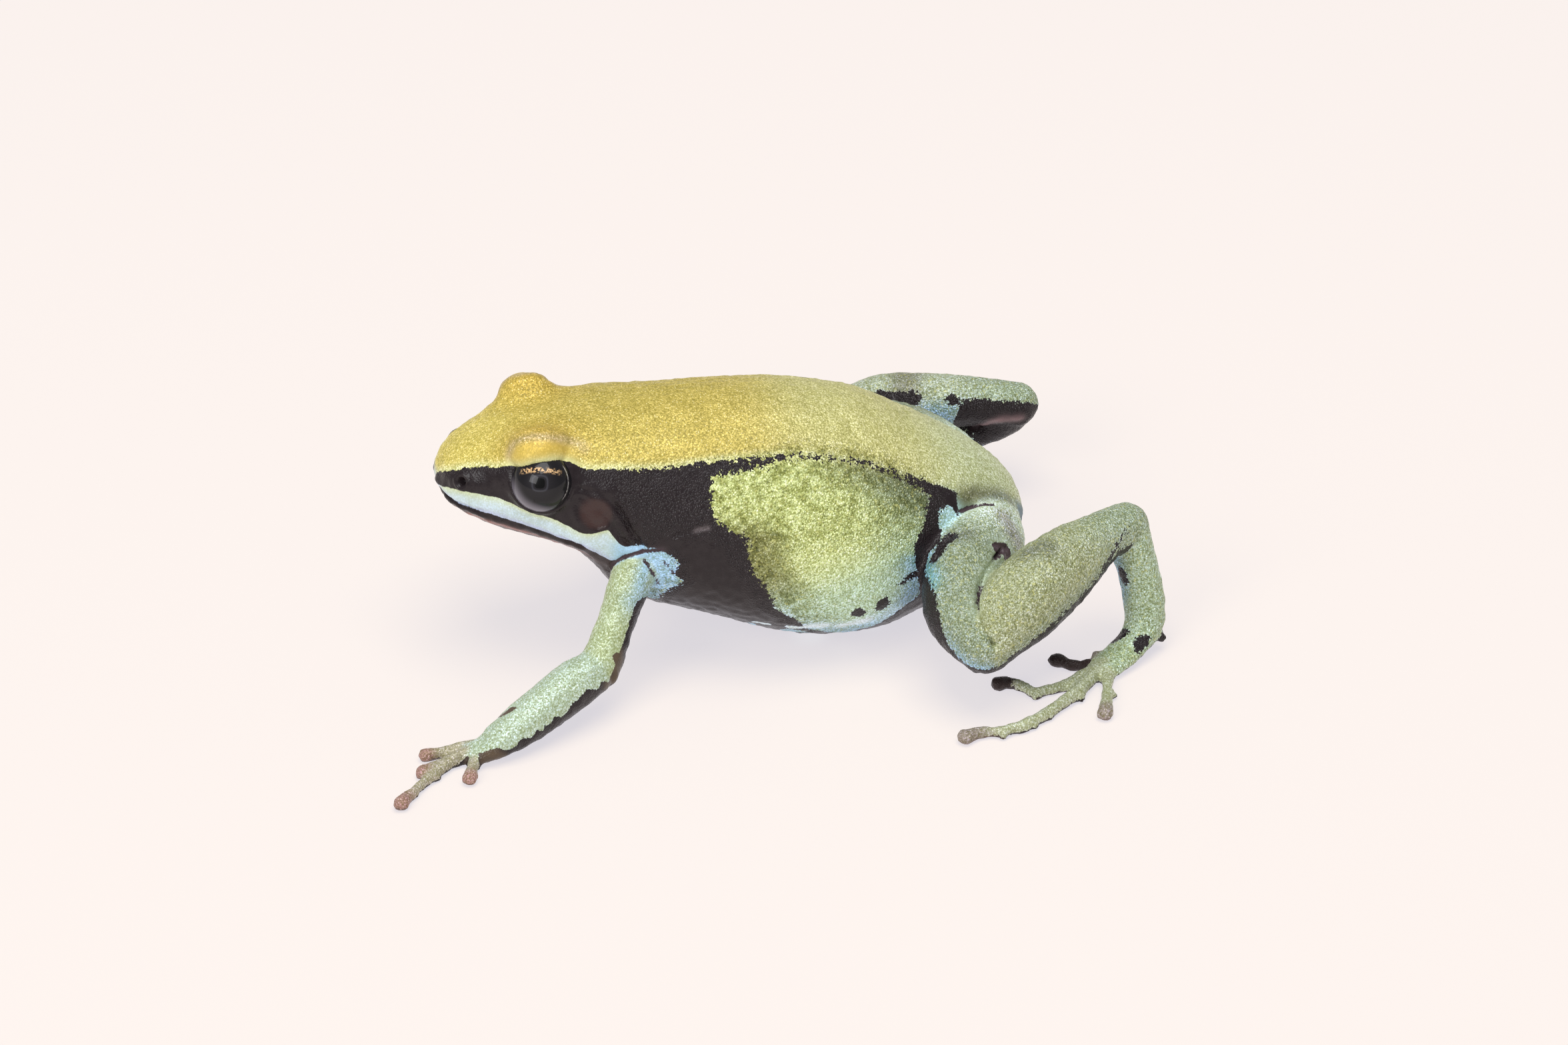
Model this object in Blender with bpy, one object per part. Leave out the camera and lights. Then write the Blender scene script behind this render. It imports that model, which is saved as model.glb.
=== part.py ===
"""Green mantella frog, life size, in a slow walking stance, as a still display model.

The frog faces -X with its left side towards -Y and stands on the plane Z = 0.
All shapes are worked out in millimetres and scaled to metres at the end.
"""
import math

import bmesh
import bpy
import numpy as np
from mathutils import Matrix, Vector

# Units and mesh fineness
MM = 0.001
VOXEL = 0.14
TRIANGLES = 10500
GAP = 0.3
SMOOTHING = 14
SHARP_ANGLE = 50
FLOOR_BLOCK = (60, 60, 4)

# Where the middle of the footprint lies in the frog's own millimetres
FOOTPRINT_X = -1.3
FOOTPRINT_Y = 0.75

# Trunk and head, as lines of (x, value) from snout to vent
BACK_LINE = ((-16.5, 9.9), (-16.1, 10.45), (-15.5, 10.95), (-14.9, 11.28), (-14, 11.68), (-13, 12.0),
             (-11.8, 12.25), (-9, 12.42), (-5, 12.52), (-1, 12.35), (3, 11.6), (6, 10.2), (9, 8.4),
             (10.4, 7.2), (11.1, 6.2), (11.4, 5.4))
BELLY_LINE = ((-16.5, 9.0), (-16, 8.05), (-14.5, 7.25), (-12, 6.45), (-10.2, 5.8), (-9.2, 4.5), (-8.5, 3.35),
              (-7.6, 2.7), (-6.5, 2.3), (-4, 1.5), (-1, 0.4), (1.5, -0.12), (4, 0.0), (6.5, 0.95), (9, 2.4),
              (10.8, 4.0), (11.4, 4.9))
HALF_WIDTH = ((-16.5, 0.7), (-16, 1.7), (-15, 2.55), (-13.5, 3.35), (-12, 3.85), (-10, 4.5), (-8, 4.8),
              (-5.5, 5.3), (-3, 5.8), (0, 6.2), (3, 6.1), (6, 5.2), (8.5, 4.1), (10.3, 2.8), (11.1, 1.8),
              (11.4, 0.9))
WIDEST_HEIGHT = ((-16.5, 9.4), (-14, 9.0), (-12, 8.9), (-10, 8.3), (-8, 7.4), (-4, 6.2), (0, 5.2),
                 (4, 4.9), (8, 4.9), (11.4, 5.2))
TOP_SQUARENESS = ((-16.5, 2.1), (-14.5, 2.4), (-12, 2.65), (-10, 2.6), (-5, 2.1), (3, 2.05), (11.4, 2.0))
LOW_SQUARENESS = ((-16.5, 2.0), (-12, 2.3), (-6, 2.1), (0, 1.95), (11.4, 2.0))

# Eyes and their lids
EYE_CENTRE = (-11.8, 3.15, 10.38)
EYE_RADIUS = 1.43
LID_CENTRE = (-11.97, 2.65, 11.1)
LID_RADII = (2.5, 1.65, 1.8)
LID_SOFTNESS = 23

# Mouth, nostril and eardrum
MOUTH_LINE = ((-16.5, 8.95), (-15.5, 8.7), (-14.3, 8.6), (-13.5, 8.45), (-12.2, 8.05), (-11, 7.55),
              (-10.2, 7.34), (-9.6, 7.1))
MOUTH_CORNER_X = -10.1
MOUTH_HALF_WIDTH = 0.15
MOUTH_DEPTH = 0.3
LIP_HEIGHT = 0.06
NOSTRIL = (-15.45, 2.0, 9.95)
NOSTRIL_RADIUS = 0.2
NOSTRIL_DEPTH = 0.4
NOSTRIL_RIM = 0.08
EARDRUM = (-9.45, 4.45, 9.15)
EARDRUM_RADIUS = 0.82
EARDRUM_DEPTH = 0.14
EARDRUM_RIM = 0.1

# Limbs, as rows of (x, y, z, half width, half height) from the root outwards
THIGH_LEFT = ((9.3, -1.4, 5.2, 1.8, 2.0), (8.9, -3.4, 5.1, 2.1, 2.2), (7.75, -5.8, 4.9, 1.95, 2.1),
              (7.15, -8.0, 4.4, 1.6, 1.65), (8.0, -9.9, 3.8, 1.3, 1.35))
SHANK_LEFT = ((8.1, -9.9, 3.8, 1.3, 1.35), (9.95, -8.6, 5.1, 1.85, 2.1), (12.3, -6.9, 5.9, 1.65, 1.95),
              (14.3, -5.5, 6.42, 1.2, 1.25), (15.65, -4.5, 6.27, 1.1, 1.15))
TARSUS_LEFT = ((15.65, -4.5, 6.27, 1.1, 1.1), (16.15, -4.8, 4.4, 1.0, 1.0), (16.5, -5.1, 2.7, 1.0, 1.0),
               (16.5, -5.5, 1.4, 0.95, 0.95), (15.9, -6.3, 0.85, 0.8, 0.65))
SOLE_LEFT = ((15.9, -6.2, 0.8, 0.8, 0.65), (15.1, -6.9, 0.55, 0.85, 0.55), (14.3, -7.6, 0.42, 0.75, 0.42))
TOES_LEFT = (
    ((15.4, -6.5, 0.5, 0.35, 0.4), (14.9, -6.7, 0.35, 0.3, 0.35), (14.1, -6.6, 0.31, 0.36, 0.34)),
    ((14.6, -7.0, 0.45, 0.36, 0.4), (13.6, -7.2, 0.36, 0.3, 0.36), (12.8, -7.0, 0.3, 0.26, 0.3),
     (12.1, -6.5, 0.31, 0.4, 0.34)),
    ((14.2, -7.6, 0.45, 0.4, 0.42), (13.1, -8.0, 0.35, 0.32, 0.36), (12.2, -8.6, 0.3, 0.29, 0.31),
     (10.7, -9.0, 0.29, 0.27, 0.3), (10.15, -8.4, 0.29, 0.27, 0.3), (9.6, -8.0, 0.29, 0.28, 0.3),
     (9.05, -8.1, 0.32, 0.42, 0.35)),
    ((14.4, -7.5, 0.45, 0.5, 0.45), (13.9, -7.8, 0.42, 0.42, 0.42), (12.6, -9.35, 0.37, 0.37, 0.38),
     (10.9, -10.8, 0.32, 0.33, 0.33), (9.6, -11.65, 0.31, 0.33, 0.32), (8.5, -11.95, 0.29, 0.27, 0.3),
     (7.6, -11.9, 0.29, 0.28, 0.3), (6.8, -12.2, 0.32, 0.42, 0.35)),
    ((14.6, -7.4, 0.45, 0.4, 0.42), (14.25, -8.3, 0.36, 0.33, 0.37), (14.0, -9.6, 0.31, 0.3, 0.32),
     (13.6, -11.2, 0.32, 0.4, 0.35)),
)
THIGH_RIGHT = ((8.9, 1.4, 5.2, 1.9, 2.0), (7.9, 3.9, 5.0, 2.2, 2.2), (6.7, 6.4, 4.7, 2.1, 2.1),
               (5.3, 8.9, 4.1, 1.75, 1.7), (4.2, 11.0, 3.6, 1.3, 1.35))
SHANK_RIGHT = ((4.2, 11.0, 3.6, 1.3, 1.3), (6.4, 10.9, 4.25, 1.6, 1.55), (8.6, 10.35, 4.6, 1.5, 1.45),
               (10.8, 9.8, 4.85, 1.25, 1.2), (12.85, 9.35, 4.8, 1.1, 1.05))
TARSUS_RIGHT = ((12.85, 9.35, 4.55, 1.0, 0.95), (12.1, 9.9, 3.4, 0.85, 0.8), (10.4, 10.6, 2.4, 0.88, 0.78),
                (8.7, 11.2, 1.5, 0.86, 0.73), (7.5, 11.6, 0.8, 0.8, 0.62))
SOLE_RIGHT = ((7.5, 11.6, 0.75, 0.8, 0.62), (6.6, 12.0, 0.52, 0.85, 0.52), (5.8, 12.4, 0.42, 0.75, 0.42))
TOES_RIGHT = (
    ((6.8, 11.5, 0.5, 0.35, 0.4), (6.0, 11.1, 0.35, 0.3, 0.35), (5.4, 10.7, 0.31, 0.36, 0.34)),
    ((6.2, 11.9, 0.45, 0.36, 0.4), (5.0, 11.5, 0.36, 0.3, 0.36), (4.0, 11.1, 0.3, 0.26, 0.3),
     (3.2, 10.6, 0.31, 0.4, 0.34)),
    ((5.9, 12.2, 0.45, 0.4, 0.42), (4.6, 12.2, 0.35, 0.32, 0.36), (3.2, 12.2, 0.3, 0.29, 0.31),
     (1.9, 12.0, 0.29, 0.28, 0.3), (0.9, 11.8, 0.32, 0.42, 0.35)),
    ((6.0, 12.4, 0.45, 0.5, 0.45), (5.2, 12.9, 0.42, 0.42, 0.42), (3.6, 13.4, 0.37, 0.37, 0.38),
     (1.8, 13.7, 0.32, 0.33, 0.33), (0.0, 13.8, 0.3, 0.29, 0.31), (-1.4, 13.6, 0.29, 0.28, 0.3),
     (-2.4, 13.5, 0.32, 0.42, 0.35)),
    ((6.2, 12.5, 0.45, 0.4, 0.42), (5.5, 13.5, 0.36, 0.33, 0.37), (4.7, 14.5, 0.31, 0.3, 0.32),
     (3.8, 15.4, 0.32, 0.4, 0.35)),
)
UPPER_ARM_LEFT = ((-7.2, -3.7, 6.3, 1.3, 1.3), (-8.0, -4.9, 5.4, 1.0, 1.05), (-8.55, -5.6, 4.4, 0.9, 0.95),
                  (-9.15, -6.5, 3.4, 0.92, 0.95), (-9.75, -7.4, 2.5, 1.0, 1.0))
FOREARM_LEFT = ((-9.75, -7.4, 2.5, 1.0, 1.0), (-11.0, -8.1, 2.2, 1.15, 1.15), (-12.4, -8.95, 1.7, 1.12, 1.1),
                (-13.8, -9.75, 1.2, 1.05, 0.95), (-14.7, -10.2, 0.9, 0.95, 0.75))
PALM_LEFT = ((-14.7, -10.2, 0.85, 0.92, 0.7), (-15.4, -10.4, 0.6, 0.88, 0.52),
             (-16.0, -10.4, 0.45, 0.72, 0.42))
FINGERS_LEFT = (
    ((-15.6, -9.9, 0.45, 0.35, 0.38), (-16.5, -9.85, 0.36, 0.29, 0.35), (-17.4, -10.0, 0.3, 0.26, 0.3),
     (-18.2, -10.15, 0.31, 0.36, 0.34)),
    ((-15.9, -10.3, 0.42, 0.35, 0.38), (-16.8, -10.55, 0.35, 0.29, 0.34), (-17.7, -11.0, 0.3, 0.26, 0.3),
     (-18.5, -11.5, 0.31, 0.36, 0.34)),
    ((-15.9, -10.4, 0.45, 0.4, 0.4), (-16.85, -10.75, 0.38, 0.33, 0.37), (-17.95, -11.75, 0.31, 0.29, 0.32),
     (-19.05, -13.0, 0.29, 0.26, 0.29), (-19.65, -13.85, 0.32, 0.4, 0.35)),
    ((-15.6, -10.3, 0.45, 0.36, 0.4), (-16.05, -11.2, 0.34, 0.29, 0.34), (-16.35, -12.3, 0.32, 0.38, 0.34)),
)
UPPER_ARM_RIGHT = ((-7.0, 3.7, 6.3, 1.3, 1.3), (-6.6, 5.1, 5.5, 1.1, 1.15), (-6.1, 6.2, 4.8, 1.0, 1.05),
                   (-5.6, 7.2, 4.2, 1.0, 1.0), (-5.1, 8.1, 3.6, 1.02, 1.0))
FOREARM_RIGHT = ((-5.1, 8.1, 3.6, 1.02, 1.0), (-6.3, 9.1, 3.0, 1.15, 1.1), (-7.6, 10.1, 2.1, 1.05, 1.0),
                 (-8.8, 10.9, 1.25, 0.88, 0.8), (-9.5, 11.3, 0.85, 0.78, 0.65))
PALM_RIGHT = ((-9.5, 11.3, 0.8, 0.78, 0.62), (-10.2, 11.6, 0.58, 0.82, 0.5), (-10.8, 11.9, 0.45, 0.72, 0.42))
FINGERS_RIGHT = (
    ((-10.3, 11.3, 0.45, 0.35, 0.38), (-11.1, 11.2, 0.36, 0.29, 0.35), (-11.9, 11.1, 0.3, 0.26, 0.3),
     (-12.6, 11.2, 0.31, 0.36, 0.34)),
    ((-10.6, 11.8, 0.42, 0.35, 0.38), (-11.5, 11.9, 0.35, 0.29, 0.34), (-12.4, 12.1, 0.3, 0.26, 0.3),
     (-13.2, 12.3, 0.31, 0.36, 0.34)),
    ((-10.6, 12.0, 0.45, 0.4, 0.4), (-11.5, 12.5, 0.38, 0.33, 0.37), (-12.6, 13.1, 0.31, 0.29, 0.32),
     (-13.5, 13.7, 0.29, 0.26, 0.29), (-14.1, 14.1, 0.32, 0.4, 0.35)),
    ((-10.3, 12.0, 0.45, 0.36, 0.4), (-10.6, 13.0, 0.34, 0.29, 0.34), (-10.9, 14.1, 0.32, 0.38, 0.34)),
)

# Small knobs at the heels and under the toes: centre and radius
KNOBS = ((17.3, -5.85, 0.7, 0.26), (7.9, 12.5, 0.6, 0.26), (12.75, -9.7, 0.22, 0.22), (10.2, -11.6, 0.2, 0.2),
         (8.65, -12.2, 0.2, 0.2), (14.3, -9.6, 0.2, 0.2), (10.6, -9.25, 0.2, 0.2))
TOE_SLIMNESS = 0.8

# Flat cuts at neck, shoulders and hips: centre, normal, a direction in the face, half length, half width
FLAT_CUTS = (
    ((-8.3, 0, 9.0), (1, 0, -0.216), (0, 1, 0), 5.4, 8),
    ((-8.0, -5.05, 5.15), (-0.35, -0.7, -0.62), (1, 0, 0), 1.8, 1.75),
    ((-6.4, 5.65, 5.15), (0.3, 0.78, -0.5), (1, 0, 0), 2.1, 2.1),
    ((8.5, -4.55, 5.0), (0.5, -0.86, -0.1), (0, 0, 1), 3.6, 4.5),
    ((7.7, 4.95, 5.0), (0.5, 0.86, -0.1), (0, 0, 1), 3.6, 4.5),
)

# Cuts across the joints: points before, at and after it, reach outwards, into the bend and across
JOINT_CUTS = (
    (THIGH_LEFT[2], SHANK_LEFT[0], SHANK_LEFT[2], 2.2, 5.0, 2.8),
    (THIGH_RIGHT[2], SHANK_RIGHT[0], SHANK_RIGHT[2], 2.2, 4.4, 2.6),
    (SHANK_LEFT[-2], TARSUS_LEFT[0], TARSUS_LEFT[1], 1.9, 2.0, 1.9),
    (SHANK_RIGHT[-2], (12.85, 9.35, 4.65), TARSUS_RIGHT[1], 1.9, 3.0, 1.9),
    (TARSUS_LEFT[-2], TARSUS_LEFT[-1], SOLE_LEFT[1], 1.5, 1.5, 1.5),
    (TARSUS_RIGHT[-2], TARSUS_RIGHT[-1], SOLE_RIGHT[1], 1.5, 1.5, 1.5),
    (UPPER_ARM_LEFT[-2], FOREARM_LEFT[0], FOREARM_LEFT[1], 1.6, 1.8, 1.6),
    (UPPER_ARM_RIGHT[-2], FOREARM_RIGHT[0], FOREARM_RIGHT[1], 1.6, 1.8, 1.6),
    (FOREARM_LEFT[-2], FOREARM_LEFT[-1], PALM_LEFT[1], 1.4, 1.4, 1.4),
    (FOREARM_RIGHT[-2], FOREARM_RIGHT[-1], PALM_RIGHT[1], 1.4, 1.4, 1.4),
)

# Nodes with a place near each one's middle and their finish
NODES = {
    "head": ((-13.5, 0, 9.5), "gold_skin"),
    "torso": ((0, 0, 6), "flank_skin"),
    "thigh_left": (THIGH_LEFT[2], "limb_skin"),
    "shank_left": (SHANK_LEFT[2], "limb_skin"),
    "tarsus_left": (TARSUS_LEFT[2], "limb_skin"),
    "foot_left": (SOLE_LEFT[2], "limb_skin"),
    "thigh_right": (THIGH_RIGHT[2], "limb_skin"),
    "shank_right": (SHANK_RIGHT[2], "limb_skin"),
    "tarsus_right": (TARSUS_RIGHT[2], "limb_skin"),
    "foot_right": (SOLE_RIGHT[2], "limb_skin"),
    "upper_arm_left": (UPPER_ARM_LEFT[3], "pale_skin"),
    "forearm_left": (FOREARM_LEFT[2], "pale_skin"),
    "hand_left": (PALM_LEFT[2], "pale_skin"),
    "upper_arm_right": (UPPER_ARM_RIGHT[3], "pale_skin"),
    "forearm_right": (FOREARM_RIGHT[2], "pale_skin"),
    "hand_right": (PALM_RIGHT[2], "pale_skin"),
}

# Colours and roughness of the nodes' plain finishes
FINISHES = {
    "gold_skin": ((0.66, 0.54, 0.16), 0.5),
    "flank_skin": ((0.42, 0.46, 0.2), 0.5),
    "limb_skin": ((0.46, 0.5, 0.36), 0.5),
    "pale_skin": ((0.55, 0.65, 0.5), 0.5),
    "eye": ((0.02, 0.02, 0.025), 0.1),
}


def smooth_line(pairs, place):
    """Value at each place on a smooth line through (place, value) pairs that never overshoots."""
    at, value = np.array(pairs, float).T
    step = np.diff(at)
    rise = np.diff(value) / step
    slope = np.zeros_like(value)
    product = rise[:-1] * rise[1:]
    same_way = product > 0
    slope[1:-1][same_way] = 2 * product[same_way] / (rise[:-1] + rise[1:])[same_way]
    slope[0] = rise[0]
    slope[-1] = rise[-1]
    k = np.clip(np.searchsorted(at, place) - 1, 0, len(step) - 1)
    t = np.clip((place - at[k]) / step[k], 0, 1)
    return (value[k] * (1 + 2 * t) * (1 - t) ** 2 + slope[k] * step[k] * t * (1 - t) ** 2
            + value[k + 1] * t * t * (3 - 2 * t) + slope[k + 1] * step[k] * t * t * (t - 1))


def add_tube(shape, rings):
    """Closed tube through rings of points, with a fan over each end."""
    rows = [[shape.verts.new(point) for point in ring] for ring in rings]
    sides = len(rows[0])
    for near, far in zip(rows, rows[1:]):
        for i in range(sides):
            j = (i + 1) % sides
            shape.faces.new((near[i], near[j], far[j], far[i]))
    for row, outward in ((rows[0], True), (rows[-1], False)):
        middle = shape.verts.new(sum((v.co for v in row), Vector()) / sides)
        for i in range(sides):
            j = (i + 1) % sides
            corners = (row[j], row[i], middle) if outward else (row[i], row[j], middle)
            shape.faces.new(corners)


def add_trunk(shape, stations=70, sides=56):
    """Head and trunk as one loft of rounded cross-sections along X."""
    along = 0.5 - 0.5 * np.cos(np.linspace(0, math.pi, stations))
    x_all = BACK_LINE[0][0] + along * (BACK_LINE[-1][0] - BACK_LINE[0][0])
    angle = np.linspace(0, 2 * math.pi, sides, endpoint=False)
    rings = []
    for x in x_all:
        wide = smooth_line(HALF_WIDTH, x)
        middle = smooth_line(WIDEST_HEIGHT, x)
        above = smooth_line(BACK_LINE, x) - middle
        below = middle - smooth_line(BELLY_LINE, x)
        upper = np.sin(angle) >= 0
        power = np.where(upper, 2 / smooth_line(TOP_SQUARENESS, x), 2 / smooth_line(LOW_SQUARENESS, x))
        y = wide * np.sign(np.cos(angle)) * np.abs(np.cos(angle)) ** power
        z = middle + np.where(upper, above, below) * np.sign(np.sin(angle)) * np.abs(np.sin(angle)) ** power
        rings.append([(x, b, c) for b, c in zip(y, z)])
    add_tube(shape, rings)


def limb_path(rows, steps=8):
    """Rows of (x, y, z, half width, half height) made dense along a smooth curve."""
    rows = np.array(rows, float)
    padded = np.vstack((2 * rows[0] - rows[1], rows, 2 * rows[-1] - rows[-2]))
    dense = []
    for a, b, c, d in zip(padded, padded[1:], padded[2:], padded[3:]):
        for t in np.arange(steps) / steps:
            dense.append(0.5 * (2 * b + (c - a) * t + (2 * a - 5 * b + 4 * c - d) * t ** 2
                                + (3 * b - a - 3 * c + d) * t ** 3))
    dense.append(rows[-1])
    return np.array(dense)


def add_limb(shape, rows, sides=20):
    """Tapered limb of oval section with round ends, its height axis as upright as its run allows."""
    path = limb_path(rows)
    centre = path[:, :3]
    run = np.gradient(centre, axis=0)
    run /= np.linalg.norm(run, axis=1)[:, None]
    angle = np.linspace(0, 2 * math.pi, sides, endpoint=False)
    side = np.cross(run, (0.0, 0.0, 1.0))
    for i in range(1, len(side)):
        if side[i] @ side[i - 1] < 0:
            side[i] *= -1
    side /= np.linalg.norm(side, axis=1)[:, None]
    rise = np.cross(side, run)

    def ring(k, shift, shrink):
        wide, high = path[k, 3:] * shrink
        middle = centre[k] + run[k] * shift
        return [middle + side[k] * wide * math.cos(a) + rise[k] * high * math.sin(a) for a in angle]

    cap_angles = np.radians((80, 60, 40, 20))
    start = path[0, 3:].mean()
    finish = path[-1, 3:].mean()
    rings = [ring(0, -start * math.sin(a), math.cos(a)) for a in cap_angles]
    rings += [ring(k, 0, 1) for k in range(len(path))]
    rings += [ring(-1, finish * math.sin(a), math.cos(a)) for a in cap_angles[::-1]]
    add_tube(shape, rings)


def add_ball(shape, centre, radii, sides=24, rows=14):
    """Ellipsoid with its three half axes along X, Y and Z."""
    x, y, z = centre
    wide, deep, high = radii
    turn = np.linspace(0, 2 * math.pi, sides, endpoint=False)
    rings = []
    for lift in np.linspace(-math.pi / 2, math.pi / 2, rows + 2)[1:-1]:
        slim = math.cos(lift)
        rings.append([(x + wide * slim * math.cos(a), y + deep * slim * math.sin(a),
                       z + high * math.sin(lift)) for a in turn])
    add_tube(shape, rings)


def add_toe(shape, rows):
    """Toe or finger, with a small round pad under each bend."""
    slim = [(x, y, z, wide * TOE_SLIMNESS, high) for x, y, z, wide, high in rows[:-1]]
    add_limb(shape, slim + [rows[-1]], sides=14)
    for x, y, z, wide, high in rows[1:-1]:
        add_ball(shape, (x, y, max(z - high * 0.35, 0.2)), (wide * 1.2, wide * 1.2, high * 0.75))


def add_all_flesh(shape):
    """Every form of the frog but the eyeballs, overlapping where they join."""
    add_trunk(shape)
    for side in (-1, 1):
        x, y, z = LID_CENTRE
        add_ball(shape, (x, side * y, z), LID_RADII)
    for rows in (THIGH_LEFT, SHANK_LEFT, TARSUS_LEFT, SOLE_LEFT, THIGH_RIGHT, SHANK_RIGHT, TARSUS_RIGHT,
                 SOLE_RIGHT, UPPER_ARM_LEFT, FOREARM_LEFT, PALM_LEFT, UPPER_ARM_RIGHT, FOREARM_RIGHT,
                 PALM_RIGHT):
        add_limb(shape, rows)
    for *centre, radius in KNOBS:
        add_ball(shape, centre, (radius,) * 3)
    for toes in (TOES_LEFT, TOES_RIGHT, FINGERS_LEFT, FINGERS_RIGHT):
        for rows in toes:
            add_toe(shape, rows)


def new_object(name, shape):
    """Object with the mesh of a bmesh, linked to the scene."""
    mesh = bpy.data.meshes.new(name)
    shape.to_mesh(mesh)
    shape.free()
    obj = bpy.data.objects.new(name, mesh)
    bpy.context.collection.objects.link(obj)
    return obj


def apply_modifiers(obj):
    """Give the object its evaluated mesh and clear its modifiers."""
    bpy.context.view_layer.update()
    depsgraph = bpy.context.evaluated_depsgraph_get()
    mesh = bpy.data.meshes.new_from_object(obj.evaluated_get(depsgraph))
    obj.modifiers.clear()
    obj.data = mesh


def read_points(mesh, kind="co"):
    """Vertex places or normals as an array of rows."""
    rows = np.empty(len(mesh.vertices) * 3)
    source = mesh.vertices if kind == "co" else mesh.vertex_normals
    source.foreach_get("co" if kind == "co" else "vector", rows)
    return rows.reshape(-1, 3)


def neighbour_mean(mesh):
    """A function that gives, for rows of values at the vertices, the mean over each vertex's neighbours."""
    ends = np.empty(len(mesh.edges) * 2, dtype=np.int64)
    mesh.edges.foreach_get("vertices", ends)
    first, second = ends.reshape(-1, 2).T
    total = len(mesh.vertices)
    count = np.bincount(ends, minlength=total)

    def mean(values):
        columns = [np.bincount(first, column[second], total) + np.bincount(second, column[first], total)
                   for column in values.T]
        return np.column_stack(columns) / count[:, None]

    return mean


def relax(mesh, rounds, weight, pulls=(0.5, -0.52)):
    """Even out creases: each round pulls points to their neighbours, then back, so that little shrinks."""
    points = read_points(mesh)
    mean = neighbour_mean(mesh)
    for pull in pulls * rounds:
        points += pull * weight[:, None] * (mean(points) - points)
    mesh.vertices.foreach_set("co", points.ravel())
    mesh.update()


def bell(distance, reach):
    """Falls smoothly from 1 at no distance towards 0 past the reach."""
    return np.exp(-(distance / reach) ** 2)


def step_up(value, width):
    """Rises smoothly from 0 well below zero to 1 well above it."""
    return 1 / (1 + np.exp(-np.clip(value / width, -30, 30)))


def both_sides(points):
    """The points with the right half folded over onto the left."""
    folded = points.copy()
    folded[:, 1] = -np.abs(points[:, 1])
    return folded


def soften_lids(mesh):
    """Blend the lid domes into the top of the head."""
    folded = both_sides(read_points(mesh))
    x, y, z = LID_CENTRE
    reach = np.linalg.norm((folded - np.array((x, -y, z - 0.3))) / (1.5, 1.0, 1.0), axis=1)
    relax(mesh, LID_SOFTNESS, 0.9 * step_up(2.3 - reach, 0.2), (0.5,))


def carve_head(mesh):
    """Line of the mouth, nostrils and eardrums, pressed into the skin along its normals."""
    points = read_points(mesh)
    normals = read_points(mesh, "normal")
    x, y, z = points.T
    mouth = z - smooth_line(MOUTH_LINE, x)
    lips = LIP_HEIGHT * bell(mouth - 0.38, 0.2) - MOUTH_DEPTH * bell(mouth, MOUTH_HALF_WIDTH)
    push = lips * step_up(MOUTH_CORNER_X - x, 0.08)
    flank = np.abs(y)
    nostril = np.sqrt((x - NOSTRIL[0]) ** 2 + (flank - NOSTRIL[1]) ** 2 + (z - NOSTRIL[2]) ** 2)
    push -= NOSTRIL_DEPTH * bell(nostril, NOSTRIL_RADIUS)
    push += NOSTRIL_RIM * bell(nostril - 0.38, 0.12)
    drum = np.sqrt((x - EARDRUM[0]) ** 2 + (z - EARDRUM[2]) ** 2)
    drum = np.where(flank > 3, drum, 9)
    push -= EARDRUM_DEPTH * step_up(EARDRUM_RADIUS - 0.1 - drum, 0.06)
    push += EARDRUM_RIM * bell(drum - EARDRUM_RADIUS - 0.08, 0.15)
    points += normals * push[:, None]
    mesh.vertices.foreach_set("co", points.ravel())
    mesh.update()


def make_flesh():
    """The whole frog without its eyeballs, as one closed skin."""
    shape = bmesh.new()
    add_all_flesh(shape)
    flesh = new_object("flesh", shape)
    remesh = flesh.modifiers.new("skin", "REMESH")
    remesh.mode = "VOXEL"
    remesh.voxel_size = VOXEL
    apply_modifiers(flesh)
    height = read_points(flesh.data)[:, 2]
    relax(flesh.data, SMOOTHING, np.clip((height - 0.5) / 1.2, 0.25, 1))
    soften_lids(flesh.data)
    carve_head(flesh.data)
    thin = flesh.modifiers.new("thin", "DECIMATE")
    thin.ratio = TRIANGLES / (2 * len(flesh.data.polygons))
    apply_modifiers(flesh)
    return flesh


def slab(centre, normal, along, reach_along, reach_across):
    """Flat slab one gap thick: its face normal, and its half sizes along a line in its face and across."""
    normal = Vector(normal).normalized()
    along = Vector(along)
    along = (along - normal * along.dot(normal)).normalized()
    across = normal.cross(along)
    turn = Matrix((along, across, normal)).transposed().to_4x4()
    size = Matrix.Diagonal((2 * reach_along, 2 * reach_across, GAP, 1))
    shape = bmesh.new()
    bmesh.ops.create_cube(shape, size=1, matrix=Matrix.Translation(centre) @ turn @ size)
    return shape


def joint_slab(before, joint, after, outside, inside, across):
    """Slab that halves the bend at a joint, reaching outwards and into the bend."""
    before, joint, after = (Vector(p[:3]) for p in (before, joint, after))
    inward_a = (before - joint).normalized()
    inward_b = (after - joint).normalized()
    bend = (inward_a + inward_b).normalized()
    centre = joint + bend * (inside - outside) / 2
    return slab(centre, inward_a - inward_b, bend, (inside + outside) / 2, across)


def make_cutters():
    """The floor, the eye sockets and the thin cuts that part the body."""
    floor = bmesh.new()
    block = Matrix.Translation((0, 0, -FLOOR_BLOCK[2] / 2)) @ Matrix.Diagonal((*FLOOR_BLOCK, 1))
    bmesh.ops.create_cube(floor, size=1, matrix=block)
    shapes = [floor]
    x, y, z = EYE_CENTRE
    for side in (-1, 1):
        socket = bmesh.new()
        place = Matrix.Translation((x, side * y, z))
        bmesh.ops.create_icosphere(socket, subdivisions=3, radius=EYE_RADIUS + GAP, matrix=place)
        shapes.append(socket)
    shapes += [slab(*cut) for cut in FLAT_CUTS]
    shapes += [joint_slab(*cut) for cut in JOINT_CUTS]
    return [new_object(f"cutter_{k}", shape) for k, shape in enumerate(shapes)]


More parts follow.
